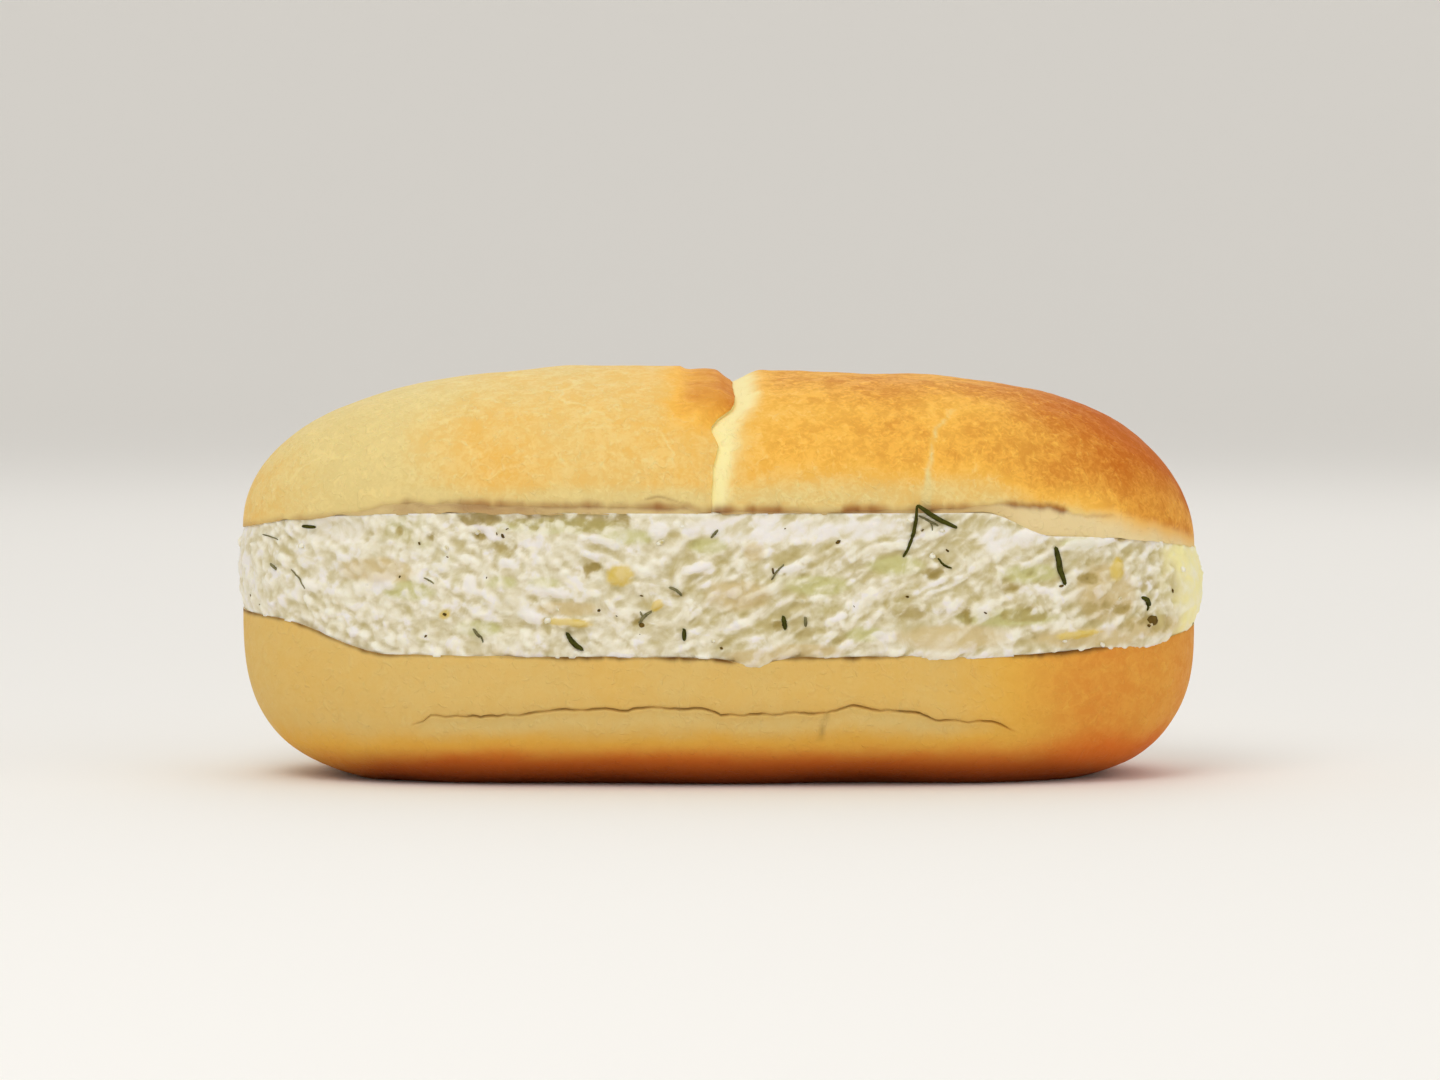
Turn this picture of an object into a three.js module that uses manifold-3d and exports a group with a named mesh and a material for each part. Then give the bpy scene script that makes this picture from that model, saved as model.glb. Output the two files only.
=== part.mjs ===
// A soft white roll, split right through and filled with crumbled white cheese and dill.
// Millimetres. +X runs along the roll, -Y faces the viewer, +Z is up, and the origin is the middle of the
// footprint on the table. The roll is three solids: the heel it stands on, the filling and the crown.
import * as THREE from "three";
import { mergeVertices } from "three/addons/utils/BufferGeometryUtils.js";
import Module from "manifold-3d";

const wasm = await Module();
wasm.setup();

// The roll's overall size. The crown is a little lower right of its split.
const HALF_LENGTH = 74;
const HALF_WIDTH = 33;
const CROWN_TOP = { left: 63.2, right: 62.4, from: -2, to: 8 };
const OUTLINE_POWERS = { along: 3, across: 2.2 };

// The two cut faces: their heights at mid length, how far they turn towards each other at the ends, and a step
// on one side: the crown's crumb hangs lower on the right, and the heel's rim rises on the left.
const UPPER_CUT = {
  height: 41.8,
  end: { left: -3.3, right: -2.9 },
  power: { left: 6, right: 8 },
  step: { from: 40, to: 51, by: -3.6 },
};
const LOWER_CUT = {
  height: 20.2,
  end: { left: 1.2, right: 3.2 },
  power: { left: 8, right: 8 },
  step: { from: -50, to: -68, by: 4.4 },
};
const CLEARANCE = 0.35;

// How blunt each half is along the roll and across it. A higher power is fuller.
const CROWN_END = { left: 3.6, right: 4 };
const CROWN_SECTION = { side: 2.3, top: 2.2 };
const HEEL_END = { power: 6, root: 2.7 };
const HEEL_SECTION = { side: 3, top: 3 };
const HEEL_SUNK = 2;

// The split across the crown: an overlapping lip on its left and a slope of pale dough on its right. Its path
// gives its place along the roll at turns from the front rim to the back rim.
const SPLIT_PATH = [
  [0, -1.3], [0.12, -1.35], [0.3, -1.3], [0.38, -0.8], [0.47, -0.5], [0.54, -1], [0.63, -1.7], [0.67, -1.55],
  [0.75, -0.6], [0.8, 0.2], [0.86, 1.4], [0.92, 1.8], [1.05, 1.8], [1.3, 1.4], [1.6, 1.2], [1.9, 0.6], [2.3, -0.6],
  [2.6, 0.1], [2.9, -0.8], [Math.PI, -0.5],
];
const SPLIT_REACH = 11;
const SPLIT_DEPTH = { rim: 0.9, top: 3 };
const SPLIT_SLOPE = { rim: 3, top: 6.6 };
const LIP = { height: 0.4, back: 3, width: 2, edge: -0.35 };

// The long crease on the heel's front, where the side folds over the base.
const CREASE = { from: -47.6, to: 45.7, depth: 0.8, halfTurn: 0.035 };
const CREASE_LINE = [
  [-47.6, 8.9], [-43.4, 11.1], [-33, 11.1], [-17.9, 12.4], [-2.8, 12.3], [0.4, 11.4], [16.2, 11.6], [20.3, 12.7],
  [30.5, 11.6], [33.1, 10.2], [40.7, 10.1], [45.7, 7.8],
];

// The filling's band between the halves.
const BAND = { recess: 1.2, belly: 0.1, endBelly: 0.4 };
const COVER = { inwards: 0.16, from: 0.82, dish: 1.5 };
const CURD = { size: 6.4, height: 1.6, count: 104, smallest: 1.7, largest: 3.4, sunk: 0.72 };
const CURD_STRETCH = [1.15, 0.95, 0.85];
const CURD_ROOM = 1.25;
const CURD_SPREAD = { round: 0.754877666, up: 0.569840291 };
const NEEDLE = { radius: 0.55, tip: 0.25, sides: 5, proud: 0.15 };

// Dill that shows: each frond's place along the roll and up the band, its length and its lean from upright.
const FRONDS = [
  { face: "front", x: 28.8, up: 0.85, length: 7.6, lean: 14 },
  { face: "front", x: 33, up: 0.95, length: 6.6, lean: -61 },
  { face: "front", x: 51.7, up: 0.76, length: 5.5, lean: -12 },
  { face: "front", x: 64.9, up: 0.41, length: 2.8, lean: -49 },
  { face: "front", x: 9.9, up: 0.23, length: 2.6, lean: -9 },
  { face: "front", x: -5.3, up: 0.15, length: 2.6, lean: -3 },
  { face: "front", x: -11.1, up: 0.27, length: 2.8, lean: 47 },
  { face: "front", x: -21.8, up: 0.12, length: 3.6, lean: -44 },
  { face: "front", x: -64.2, up: 0.42, length: 3.6, lean: -37 },
  { face: "back", x: -42.5, up: 0.7, length: 6.7, lean: -27 },
  { face: "back", x: 11.3, up: 0.7, length: 7.6, lean: 11 },
  { face: "back", x: 42, up: 0.42, length: 4.8, lean: -24 },
  { face: "back", x: 58.5, up: 0.6, length: 3.6, lean: 56 },
];

const COLOURS = {
  crown: { color: 0xe2a652, roughness: 0.62, metalness: 0 },
  heel: { color: 0xd8b06a, roughness: 0.66, metalness: 0 },
  filling: { color: 0xeee7d2, roughness: 0.55, metalness: 0 },
};

const { abs, asin, cos, sin, sign, sqrt, floor, max, min, exp, hypot, PI } = Math;
const mix = (a, b, share) => a + (b - a) * share;
const endOf = (x, ends) => (x < 0 ? ends.left : ends.right);
const clamp = THREE.MathUtils.clamp;
const smooth = (from, to, value) => {
  const share = clamp((value - from) / (to - from), 0, 1);
  return share * share * (3 - 2 * share);
};

// The value at x of a line through [x, value] points. Past its ends it stays level.
function valueAlong(line, x) {
  const next = line.findIndex(([place]) => place >= x);
  if (next < 1) return next < 0 ? line.at(-1)[1] : line[0][1];
  const [[fromX, from], [toX, to]] = [line[next - 1], line[next]];
  return mix(from, to, (x - fromX) / (toX - fromX));
}

// Noise that is the same on every run.

const fraction = (value) => value - floor(value);
const lattice = (i, j, k) => fraction(sin(i * 127.1 + j * 311.7 + k * 74.7) * 43758.5453);

// Smooth noise from -1 to 1 with one feature per unit.
function noise(x, y, z) {
  const [i, j, k] = [floor(x), floor(y), floor(z)];
  const [u, v, w] = [x - i, y - j, z - k].map((f) => f * f * (3 - 2 * f));
  const corner = (a, b, c) => lattice(i + a, j + b, k + c);
  const edge = (b, c) => mix(corner(0, b, c), corner(1, b, c), u);
  return 2 * mix(mix(edge(0, 0), edge(1, 0), v), mix(edge(0, 1), edge(1, 1), v), w) - 1;
}

// Distance, in cells, to the nearest of one point per cell, which sits anywhere in the middle of its cell.
function cellDistance(x, y, z) {
  const [i, j, k] = [floor(x), floor(y), floor(z)];
  let nearest = 9;
  for (let a = i - 1; a <= i + 1; a++)
    for (let b = j - 1; b <= j + 1; b++)
      for (let c = k - 1; c <= k + 1; c++) {
        const px = a + mix(0.15, 0.85, lattice(a, b, c));
        const py = b + mix(0.15, 0.85, lattice(b + 5, c, a));
        const pz = c + mix(0.15, 0.85, lattice(c, a + 9, b));
        nearest = min(nearest, hypot(x - px, y - py, z - pz));
      }
  return nearest;
}

// Shared form of the roll.

function cutHeight({ height, end, power, step }, x) {
  const atEnd = endOf(x, end) * abs(x / HALF_LENGTH) ** endOf(x, power);
  return height + atEnd + step.by * smooth(step.from, step.to, x);
}
const upperCut = (x) => cutHeight(UPPER_CUT, x);
const lowerCut = (x) => cutHeight(LOWER_CUT, x);

// Half the bread's width at x.
const halfWidth = (x) =>
  HALF_WIDTH * max(0, 1 - abs(x / HALF_LENGTH) ** OUTLINE_POWERS.along) ** (1 / OUTLINE_POWERS.across);

// How far the crown rises over its cut face at x, and how far the heel reaches below its own.
function crownRise(x) {
  const end = upperCut(sign(x) * HALF_LENGTH);
  const full = sqrt(max(0, 1 - abs(x / HALF_LENGTH) ** endOf(x, CROWN_END)));
  const top = mix(CROWN_TOP.left, CROWN_TOP.right, smooth(CROWN_TOP.from, CROWN_TOP.to, x));
  return mix(end, top, full) - mix(end, upperCut(x), smooth(0, 0.3, full));
}
function heelDrop(x) {
  const end = lowerCut(sign(x) * HALF_LENGTH);
  const full = max(0, 1 - abs(x / HALF_LENGTH) ** HEEL_END.power) ** (1 / HEEL_END.root);
  return mix(end, lowerCut(x), smooth(0, 0.3, full)) - mix(end, -HEEL_SUNK, full);
}

// A closed surface from rings between two poles. Seen from the first pole, the rings run anticlockwise.
function loft(rings, firstPole, lastPole) {
  const count = rings[0].length;
  const points = [firstPole, ...rings.flat(), lastPole];
  const at = (ring, i) => 1 + ring * count + (i % count);
  const faces = [];
  for (let i = 0; i < count; i++) {
    faces.push(0, at(0, i), at(0, i + 1));
    for (let r = 0; r + 1 < rings.length; r++) {
      faces.push(at(r, i), at(r + 1, i), at(r, i + 1));
      faces.push(at(r, i + 1), at(r + 1, i), at(r + 1, i + 1));
    }
    faces.push(points.length - 1, at(rings.length - 1, i + 1), at(rings.length - 1, i));
  }
  const geometry = new THREE.BufferGeometry();
  geometry.setAttribute("position", new THREE.Float32BufferAttribute(points.flat(), 3));
  geometry.setIndex(faces);
  return geometry;
}

// Places along the roll, closer together towards the round ends.
const alongRoll = (count) =>
  Array.from({ length: count }, (_, i) => HALF_LENGTH * sin(PI * ((i + 1) / (count + 1) - 0.5)));

// The gentle unevenness of the crust.
const crustRelief = (x, y, z) => 0.5 * noise(x / 21, y / 17, z / 15) + 0.22 * noise(x / 8, y / 8 + 4, z / 8);

// Turns round the crust in even steps, from one to another.
const evenTurns = (from, to, steps) => Array.from({ length: steps + 1 }, (_, i) => mix(from, to, i / steps));

// One half of the bread. Its ring runs round the crust from the front rim, at turn 0, to the back rim, at turn
// PI, and then back across the cut face. relief(x, turn, y, z) is how far the crust stands off its smooth form,
// away from the middle of the cut face, and shift(x, turn) moves a point along the roll.
function breadHalf({ stations, turnsAt, cut, reach, up, section, cutSteps, relief, shift }) {
  const crustPoint = (x, turn) => {
    const across = -halfWidth(x) * sign(cos(turn)) * abs(cos(turn)) ** (2 / section.side);
    const rise = reach(x) * max(0, sin(turn)) ** (2 / section.top);
    const grow = 1 + relief(x, turn, across, cut(x) + up * rise) / hypot(across, rise, 0.15 * x);
    return [x + shift(x, turn), across * grow, max(0, cut(x) + up * rise * grow)];
  };
  const rings = stations.map((x) => {
    const crust = turnsAt(x).map((turn) => crustPoint(x, turn));
    const [front, back] = [crust[0], crust.at(-1)];
    const cutFace = evenTurns(0, 1, cutSteps).slice(1, -1);
    const flat = cutFace.map((s) => [mix(back[0], front[0], s), mix(back[1], front[1], s), cut(x)]);
    const ring = [...crust, ...flat];
    return up > 0 ? ring : ring.reverse();
  });
  const pole = (x) => [x, 0, cut(x)];
  return loft(rings, pole(-HALF_LENGTH), pole(HALF_LENGTH));
}

// Crown: the upper half, with the split across it.

// How the crust stands there, by the distance past the split: a raised lip, a sharp drop and a slope back up.
function splitShape(past, turn) {
  const high = max(0, sin(turn));
  const depth = mix(SPLIT_DEPTH.rim, SPLIT_DEPTH.top, high);
  const slope = mix(SPLIT_SLOPE.rim, SPLIT_SLOPE.top, high);
  const lip = LIP.height * high * exp(-(((past + LIP.back) / LIP.width) ** 2));
  if (past < LIP.edge) return lip;
  const climb = min(1, max(0, past / slope));
  return lip * (past < 0 ? 1 : 0) - depth * (1 - smooth(0, 1, climb));
}

function crown() {
  const nearSplit = [-8, -5.4, -3.6, -2.2, -1.1, -0.4, 0.15, 1, 2.1, 3.4, 5, 7.2, 9.6];
  const nearStep = [41.5, 43.7, 45.8, 47.9, 50.2, 53];
  const elsewhere = alongRoll(36).filter((x) => x < -9.5 || (x > 11.5 && x < 39.5) || x > 55);
  return breadHalf({
    stations: [...elsewhere, ...nearSplit, ...nearStep].sort((a, b) => a - b),
    turnsAt: () => evenTurns(0, PI, 24),
    cut: upperCut,
    reach: crownRise,
    up: 1,
    section: CROWN_SECTION,
    cutSteps: 5,
    relief: (x, turn, y, z) => crustRelief(x, y, z) + splitShape(x, turn),
    shift: (x, turn) => valueAlong(SPLIT_PATH, turn) * (1 - smooth(0, SPLIT_REACH, abs(x))),
  });
}

// Heel: the lower half, flat underneath, with the crease along its front.

// How deep the crease is at x, and its turn round the heel's front.
const creaseDepth = (x) =>
  CREASE.depth * smooth(CREASE.from, CREASE.from + 5, x) * (1 - smooth(CREASE.to - 5, CREASE.to, x));
const creaseTurn = (x) =>
  asin(((lowerCut(x) - valueAlong(CREASE_LINE, x)) / heelDrop(x)) ** (HEEL_SECTION.top / 2));

// Turns with one on the crease and one close on each side of it. Past the crease's ends it stays where it was.
function creasedTurns(x) {
  const middle = creaseTurn(clamp(x, CREASE.from, CREASE.to));
  const above = evenTurns(0, middle - CREASE.halfTurn, 5);
  return [...above, middle, ...evenTurns(middle + CREASE.halfTurn, PI, 19)];
}

function heel() {
  const onCrease = (x, turn) => turn === creaseTurn(clamp(x, CREASE.from, CREASE.to));
  return breadHalf({
    stations: alongRoll(40),
    turnsAt: creasedTurns,
    cut: lowerCut,
    reach: heelDrop,
    up: -1,
    section: HEEL_SECTION,
    cutSteps: 5,
    relief: (x, turn, y, z) => crustRelief(x, y + 40, z) - (onCrease(x, turn) ? creaseDepth(x) : 0),
    shift: () => 0,
  });
}

// Filling: an uneven band of curds that runs through the roll and shows all round.

// The bread's outline from above as evenly spaced points, clockwise, with its outward direction at each.
function outline(count) {
  const corners = Array.from({ length: 400 }, (_, i) => {
    const turn = (-2 * PI * i) / 400;
    const [c, s] = [cos(turn), sin(turn)];
    const x = HALF_LENGTH * sign(c) * abs(c) ** (2 / OUTLINE_POWERS.along);
    const y = HALF_WIDTH * sign(s) * abs(s) ** (2 / OUTLINE_POWERS.across);
    return new THREE.Vector3(x, y, 0);
  });
  const curve = new THREE.CatmullRomCurve3(corners, true);
  curve.arcLengthDivisions = 1200;
  return Array.from({ length: count }, (_, i) => {
    const along = curve.getTangentAt(i / count);
    return { at: curve.getPointAt(i / count), out: new THREE.Vector3(-along.y, along.x, 0) };
  });
}

// Limits of the filling at x: it stays just clear of both cut faces, also past the ends of the bread.
function bandLimits(x) {
  const inside = clamp(x, -HALF_LENGTH, HALF_LENGTH);
  return [lowerCut(inside) + CLEARANCE, upperCut(inside) - CLEARANCE];
}

// How far the band stands off the bread's outline at a share of its height.
function bandOffset(x, y, z, share) {
  const middle = 1 - (2 * share - 1) ** 2;
  const end = BAND.endBelly * smooth(0.85, 1, abs(x / HALF_LENGTH));
  const curds = CURD.height * (0.75 - cellDistance(x / CURD.size, y / CURD.size, z / CURD.size) ** 1.5);
  return mix(-BAND.recess, BAND.belly + end, middle) + curds * mix(0.35, 1, middle);
}

function bandPoint({ at, out }, share) {
  const [low, high] = bandLimits(at.x);
  const z = mix(low, high, share);
  const offset = bandOffset(at.x, at.y, z, share);
  return [at.x + out.x * offset, at.y + out.y * offset, z];
}

// A point of the top or bottom of the filling, at a share of the way out from the roll's middle line.
function coverPoint({ at, out }, share, top) {
  const [x, y] = bandPoint({ at, out }, top ? 1 : 0);
  const inside = x * mix(1, share, COVER.inwards * smooth(COVER.from, 1, abs(x / HALF_LENGTH)));
  return [inside, y * share, bandLimits(inside)[top ? 1 : 0]];
}

function fillingCore() {
  const rim = outline(148);
  const rows = 9;
  const covers = [0.45, 0.86];
  const rings = [
    ...covers.map((share) => rim.map((p) => coverPoint(p, share, false))),
    ...Array.from({ length: rows }, (_, i) => rim.map((p) => bandPoint(p, i / (rows - 1)))),
    ...covers.reverse().map((share) => rim.map((p) => coverPoint(p, share, true))),
  ];
  const [low, high] = bandLimits(0);
  return loft(rings, [0, 0, low + COVER.dish], [0, 0, high - COVER.dish]);
}

// The nearest outline point to a place along the roll on its front or back.
function outlineNear(rim, x, face) {
  const facing = rim.filter((p) => (face === "front" ? p.at.y < 0 : p.at.y > 0));
  return facing.reduce((best, p) => (abs(p.at.x - x) < abs(best.at.x - x) ? p : best));
}

// Loose curds that stand on the band, spread evenly by a sequence that never repeats a place.
function curds(rim) {
  return Array.from({ length: CURD.count }, (_, i) => {
    const place = rim[floor(fraction(i * CURD_SPREAD.round) * rim.length)];
    const size = mix(CURD.smallest, CURD.largest, lattice(i, 1, 1) ** 1.5);
    const stretch = CURD_STRETCH.map((s, axis) => s * size * mix(0.85, 1.15, lattice(i, axis, 5)));
    const [low, high] = bandLimits(place.at.x);
    const beside = [-size, size].map((aside) => bandLimits(place.at.x + aside));
    const room = CURD_ROOM * size;
    const lowest = max(...beside.map(([bottom]) => bottom)) + room;
    const highest = min(...beside.map(([, top]) => top)) - room;
    const z = mix(lowest, highest, fraction(i * CURD_SPREAD.up));
    const [x, y] = bandPoint(place, (z - low) / (high - low));
    const geometry = new THREE.IcosahedronGeometry(1, 0);
    geometry.scale(...stretch);
    geometry.rotateX(lattice(i, 7, 2) * PI);
    geometry.rotateZ(lattice(i, 3, 8) * PI);
    const sunk = CURD.sunk * size;
    return geometry.translate(x - place.out.x * sunk, y - place.out.y * sunk, z);
  });
}

// Dill fronds that lie against the band.
function fronds(rim) {
  return FRONDS.map(({ face, x, up, length, lean }) => {
    const place = outlineNear(rim, x, face);
    const [low, high] = bandLimits(place.at.x);
    const tilt = THREE.MathUtils.degToRad(lean);
    const half = (length / 2) * abs(cos(tilt)) + NEEDLE.radius;
    const z = clamp(mix(low, high, up), low + half, high - half);
    const [px, py] = bandPoint(place, (z - low) / (high - low));
    const geometry = new THREE.CylinderGeometry(NEEDLE.tip, NEEDLE.radius, length, NEEDLE.sides);
    const upright = new THREE.Vector3(0, 1, 0);
    const along = new THREE.Vector3(-place.out.y * sin(tilt), place.out.x * sin(tilt), cos(tilt));
    geometry.applyQuaternion(new THREE.Quaternion().setFromUnitVectors(upright, along));
    return geometry.translate(px + place.out.x * NEEDLE.proud, py + place.out.y * NEEDLE.proud, z);
  });
}

// Joining: closed meshes become solids, are added up and come back as one mesh.

function solidOf(geometry) {
  const bare = geometry.index ? geometry.toNonIndexed() : geometry.clone();
  bare.deleteAttribute("normal");
  bare.deleteAttribute("uv");
  const merged = mergeVertices(bare, 1e-4);
  const { array } = merged.getAttribute("position");
  const triVerts = new Uint32Array(merged.index.array);
  return new wasm.Manifold(new wasm.Mesh({ numProp: 3, vertProperties: array, triVerts }));
}

// Adds closed meshes into one body. A scrap that ends up loose is dropped.
function joined(geometries) {
  const sum = geometries.map(solidOf).reduce((all, next) => all.add(next));
  const whole = sum.decompose().reduce((most, body) => (body.volume() > most.volume() ? body : most));
  const { vertProperties, triVerts } = whole.getMesh();
  const geometry = new THREE.BufferGeometry();
  geometry.setAttribute("position", new THREE.Float32BufferAttribute(vertProperties, 3));
  geometry.setIndex([...triVerts]);
  return geometry;
}

function filling() {
  const rim = outline(400);
  return joined([fillingCore(), ...curds(rim), ...fronds(rim)]);
}

function piece(name, geometry) {
  geometry.computeVertexNormals();
  const material = new THREE.MeshStandardMaterial({ ...COLOURS[name], flatShading: true });
  const mesh = new THREE.Mesh(geometry, material);
  mesh.name = name;
  return mesh;
}

const sandwich = new THREE.Group();
sandwich.add(piece("heel", heel()), piece("filling", filling()), piece("crown", crown()));
export default sandwich;
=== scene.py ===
# White cheese sandwich: a soft roll, split right through and filled with crumbled white cheese and dill.
# Shapes are worked out in millimetres, in the frame of the solids, and become metres when a mesh is made.
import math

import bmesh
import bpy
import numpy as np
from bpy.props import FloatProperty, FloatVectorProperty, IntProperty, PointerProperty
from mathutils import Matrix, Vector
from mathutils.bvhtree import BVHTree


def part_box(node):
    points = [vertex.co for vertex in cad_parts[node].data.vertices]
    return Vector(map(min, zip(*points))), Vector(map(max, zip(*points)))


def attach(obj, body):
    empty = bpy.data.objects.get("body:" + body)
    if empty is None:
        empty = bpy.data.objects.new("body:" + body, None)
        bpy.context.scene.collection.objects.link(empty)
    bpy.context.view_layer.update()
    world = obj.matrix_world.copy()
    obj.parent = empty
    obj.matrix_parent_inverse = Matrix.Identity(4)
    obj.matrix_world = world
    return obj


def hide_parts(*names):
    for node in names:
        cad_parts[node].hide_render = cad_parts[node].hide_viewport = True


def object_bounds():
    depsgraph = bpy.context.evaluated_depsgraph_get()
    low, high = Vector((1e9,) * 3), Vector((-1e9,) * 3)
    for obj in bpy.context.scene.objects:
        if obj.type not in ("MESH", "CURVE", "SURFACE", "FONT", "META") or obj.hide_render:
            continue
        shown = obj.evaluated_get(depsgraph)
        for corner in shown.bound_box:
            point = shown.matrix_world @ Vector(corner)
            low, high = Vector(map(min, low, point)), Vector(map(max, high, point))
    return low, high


bl_info = {
    "name": "White Cheese Sandwich",
    "version": (1, 0, 0),
    "blender": (4, 5, 0),
    "location": "3D View > Sidebar > Sandwich",
    "description": "A filled soft roll with baked crusts, crumbled white cheese and dill, on a pale studio floor",
    "category": "Add Mesh",
}

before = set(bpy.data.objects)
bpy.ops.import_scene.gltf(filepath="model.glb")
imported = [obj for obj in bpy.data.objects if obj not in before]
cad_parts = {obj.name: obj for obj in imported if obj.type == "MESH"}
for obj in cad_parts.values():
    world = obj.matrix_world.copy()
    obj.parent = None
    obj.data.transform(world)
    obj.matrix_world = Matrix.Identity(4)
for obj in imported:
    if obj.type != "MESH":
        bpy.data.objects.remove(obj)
CAD_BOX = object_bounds()

MM = 0.001
BODY = "root"
CHEESE = "white_cheese"

# The roll, as the solids have it.
HALF_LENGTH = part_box("crown")[1].x / MM
HALF_WIDTH = 33
CROWN_TOP = {"left": 63.2, "right": 62.4, "from": -2, "to": 8}
OUTLINE_ALONG = 3
OUTLINE_ACROSS = 2.2
UPPER_CUT = {
    "height": 41.8, "end": {"left": -3.3, "right": -2.9}, "power": {"left": 6, "right": 8}, "step": (40, 51, -3.6),
}
LOWER_CUT = {
    "height": 20.2, "end": {"left": 1.2, "right": 3.2}, "power": {"left": 8, "right": 8}, "step": (-50, -68, 4.4),
}
CROWN_END = {"left": 3.6, "right": 4}
CROWN_SECTION = {"side": 2.3, "top": 2.2}
HEEL_END = {"power": 6, "root": 2.7}
HEEL_SECTION = {"side": 3, "top": 3}
HEEL_SUNK = 2

# The split across the crown: its place along the roll at turns from the front rim to the back rim, how far its
# bend reaches along the roll, and how wide its slope of dough is. A torn ledge of crust ends just left of it.
SPLIT_PATH = (
    (0, -1.3), (0.12, -1.35), (0.3, -1.3), (0.38, -0.8), (0.47, -0.5), (0.54, -1), (0.63, -1.7), (0.67, -1.55),
    (0.75, -0.6), (0.8, 0.2), (0.86, 1.4), (0.92, 1.8), (1.05, 1.8), (1.3, 1.4), (1.6, 1.2), (1.9, 0.6), (2.3, -0.6),
    (2.6, 0.1), (2.9, -0.8), (math.pi, -0.5),
)
SPLIT_REACH = 11
SPLIT_SLOPE = {"rim": 3, "top": 6.6}
LEDGE = {"x": -6, "half_width": 0.7, "drop": 0.7}

# A flake of crust that has lifted over the crown's rim: its ends along the roll, its rise over the rim, how far it
# bows up and falls to the right, and how far it stands out.
FLAKE = {"from": -11.6, "to": -4.6, "rise": 2.1, "bow": 0.7, "fall": 1.2, "height": 0.25}

# A pale stretch mark on the crown's right half: place along the roll at heights over its rim.
STRETCH_MARK = ((0, 31.4), (6.6, 31.9), (10, 32.3), (12.9, 33.4), (15.7, 36.2))

# How baked the crown is, at places along the roll.
CROWN_BAKE = (
    (-74, 0.27), (-66, 0.16), (-58, 0.02), (-50, 0.06), (-43, 0.2), (-36, 0.31), (-29, 0.3), (-22, 0.26),
    (-12, 0.29), (2, 0.33), (10, 0.57), (20, 0.55), (27, 0.6), (34, 0.57), (42, 0.63), (48, 0.74), (55, 0.83),
    (62, 0.92), (74, 0.96),
)

# How brown the crown's and the heel's cut edges are, at places along the roll.
CROWN_LINE = (
    (-70, 0.5), (-60, 0.5), (-55, 0.3), (-49, 0.3), (-47.3, 0.8), (-45.5, 0.35), (-42, 0.45), (-39, 0.9),
    (-34.5, 0.95), (-31, 0.65), (-21, 0.75), (-19.2, 0.95), (-17.5, 0.7), (-11, 0.75), (-9.4, 0.95), (-7, 0.65),
    (-4, 0.6), (-1.5, 0.95), (2, 1), (3.3, 0.5), (4.9, 0.95), (9.5, 1), (11, 0.6), (17, 0.5), (19, 0.95), (25, 0.95),
    (26.5, 0.55), (29.5, 0.65), (31, 0.85), (36.8, 0.8), (39, 0.45), (43, 0.4), (44.5, 0.95), (49, 0.85),
    (52.3, 0.95), (53.5, 0.1), (56, 0.1), (57, 0.4), (60, 0.4), (61, 0),
)
HEEL_LINE = (
    (-72, 0.9), (-66, 0.75), (-50, 0.7), (-42, 0.45), (-34, 0.25), (-30, 0.5), (-26, 0.6), (-24, 1), (-14.5, 1),
    (-12, 0.5), (-9, 0.6), (-7, 0.95), (2, 1), (3, 0.1), (9, 0.1), (11, 0.8), (20, 0.85), (27, 0.7), (30, 0.15),
    (43, 0.1), (45, 1), (58, 1), (61, 0.1),
)

# How high a strip of crumb shows below the crown's crust, at places along the roll, and how much of it is bare.
CRUMB_STRIP = (
    (-70, 0.05), (-58.6, 0.1), (-54.3, 0.6), (-51, 1.5), (-45, 1.8), (-38, 1.5), (-18, 1.2), (-4.4, 1), (-2.9, 0.5),
    (17, 0.4), (28, 0.6), (37, 0.9), (41, 1.2), (50, 4.1), (56, 3.5), (61, 3), (66, 2.3), (72, 0.7), (74, 0.3),
)
CRUMB_BARE = {"left": 0.5, "right": 1, "from": 38, "to": 47}
CRUMB_BROWN = (
    (-58, 0.5), (-50, 0.6), (-44, 0.75), (-36, 1), (-30, 0.9), (-24, 0.55), (-10, 0.3), (0, 0.5), (20, 0.6), (38, 0.5),
)

# The crease on the heel's front, and a short crack down from it: heights over the table at places along the roll.
CREASE_LINE = (
    (-47.6, 8.9), (-43.4, 11.1), (-33, 11.1), (-17.9, 12.4), (-14.1, 12.1), (-5.8, 12.6), (-0.5, 11.9), (0.4, 11.4),
    (16.2, 11.6), (20.3, 12.7), (24.4, 12), (30.5, 11.6), (33.1, 10.2), (40.7, 10.1), (43.1, 9.4), (45.7, 7.8),
)
CREASE = {"from": -47.6, "to": 45.7, "half_turn": 0.06}
CRACK = {"x": 16.3, "lean": 0.2, "low": 7.2, "high": 11.6}

# Where cheese has pressed the heel's rim down on the front, and where the rim stands higher: place along the roll,
# half length and how much higher.
RIM_MOVES = ((5.2, 4, -1.2), (57, 4.5, 0.6))

# The filling's band between the halves, and how far its hidden top and bottom draw in.
BAND = {"recess": 0.5, "belly": 0.1, "end_belly": {"left": 0.5, "right": 1.1}, "overlap": 0.8}
COVER_INWARDS = 0.25

# Two kinds of curd: share of their number, smallest and largest half size, and how far they stand out.
CURD_KINDS = (
    {"share": 0.3, "sizes": (0.45, 0.95), "shape": (1.7, 0.8, 0.7), "proud": (0, 0.5), "spread": 0.3},
    {"share": 0.7, "sizes": (0.22, 0.45), "shape": (1.35, 0.85, 0.8), "proud": (0.05, 0.65), "spread": 0.7},
)
CURD_LEAN = {"left": -26, "right": 27}

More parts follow.
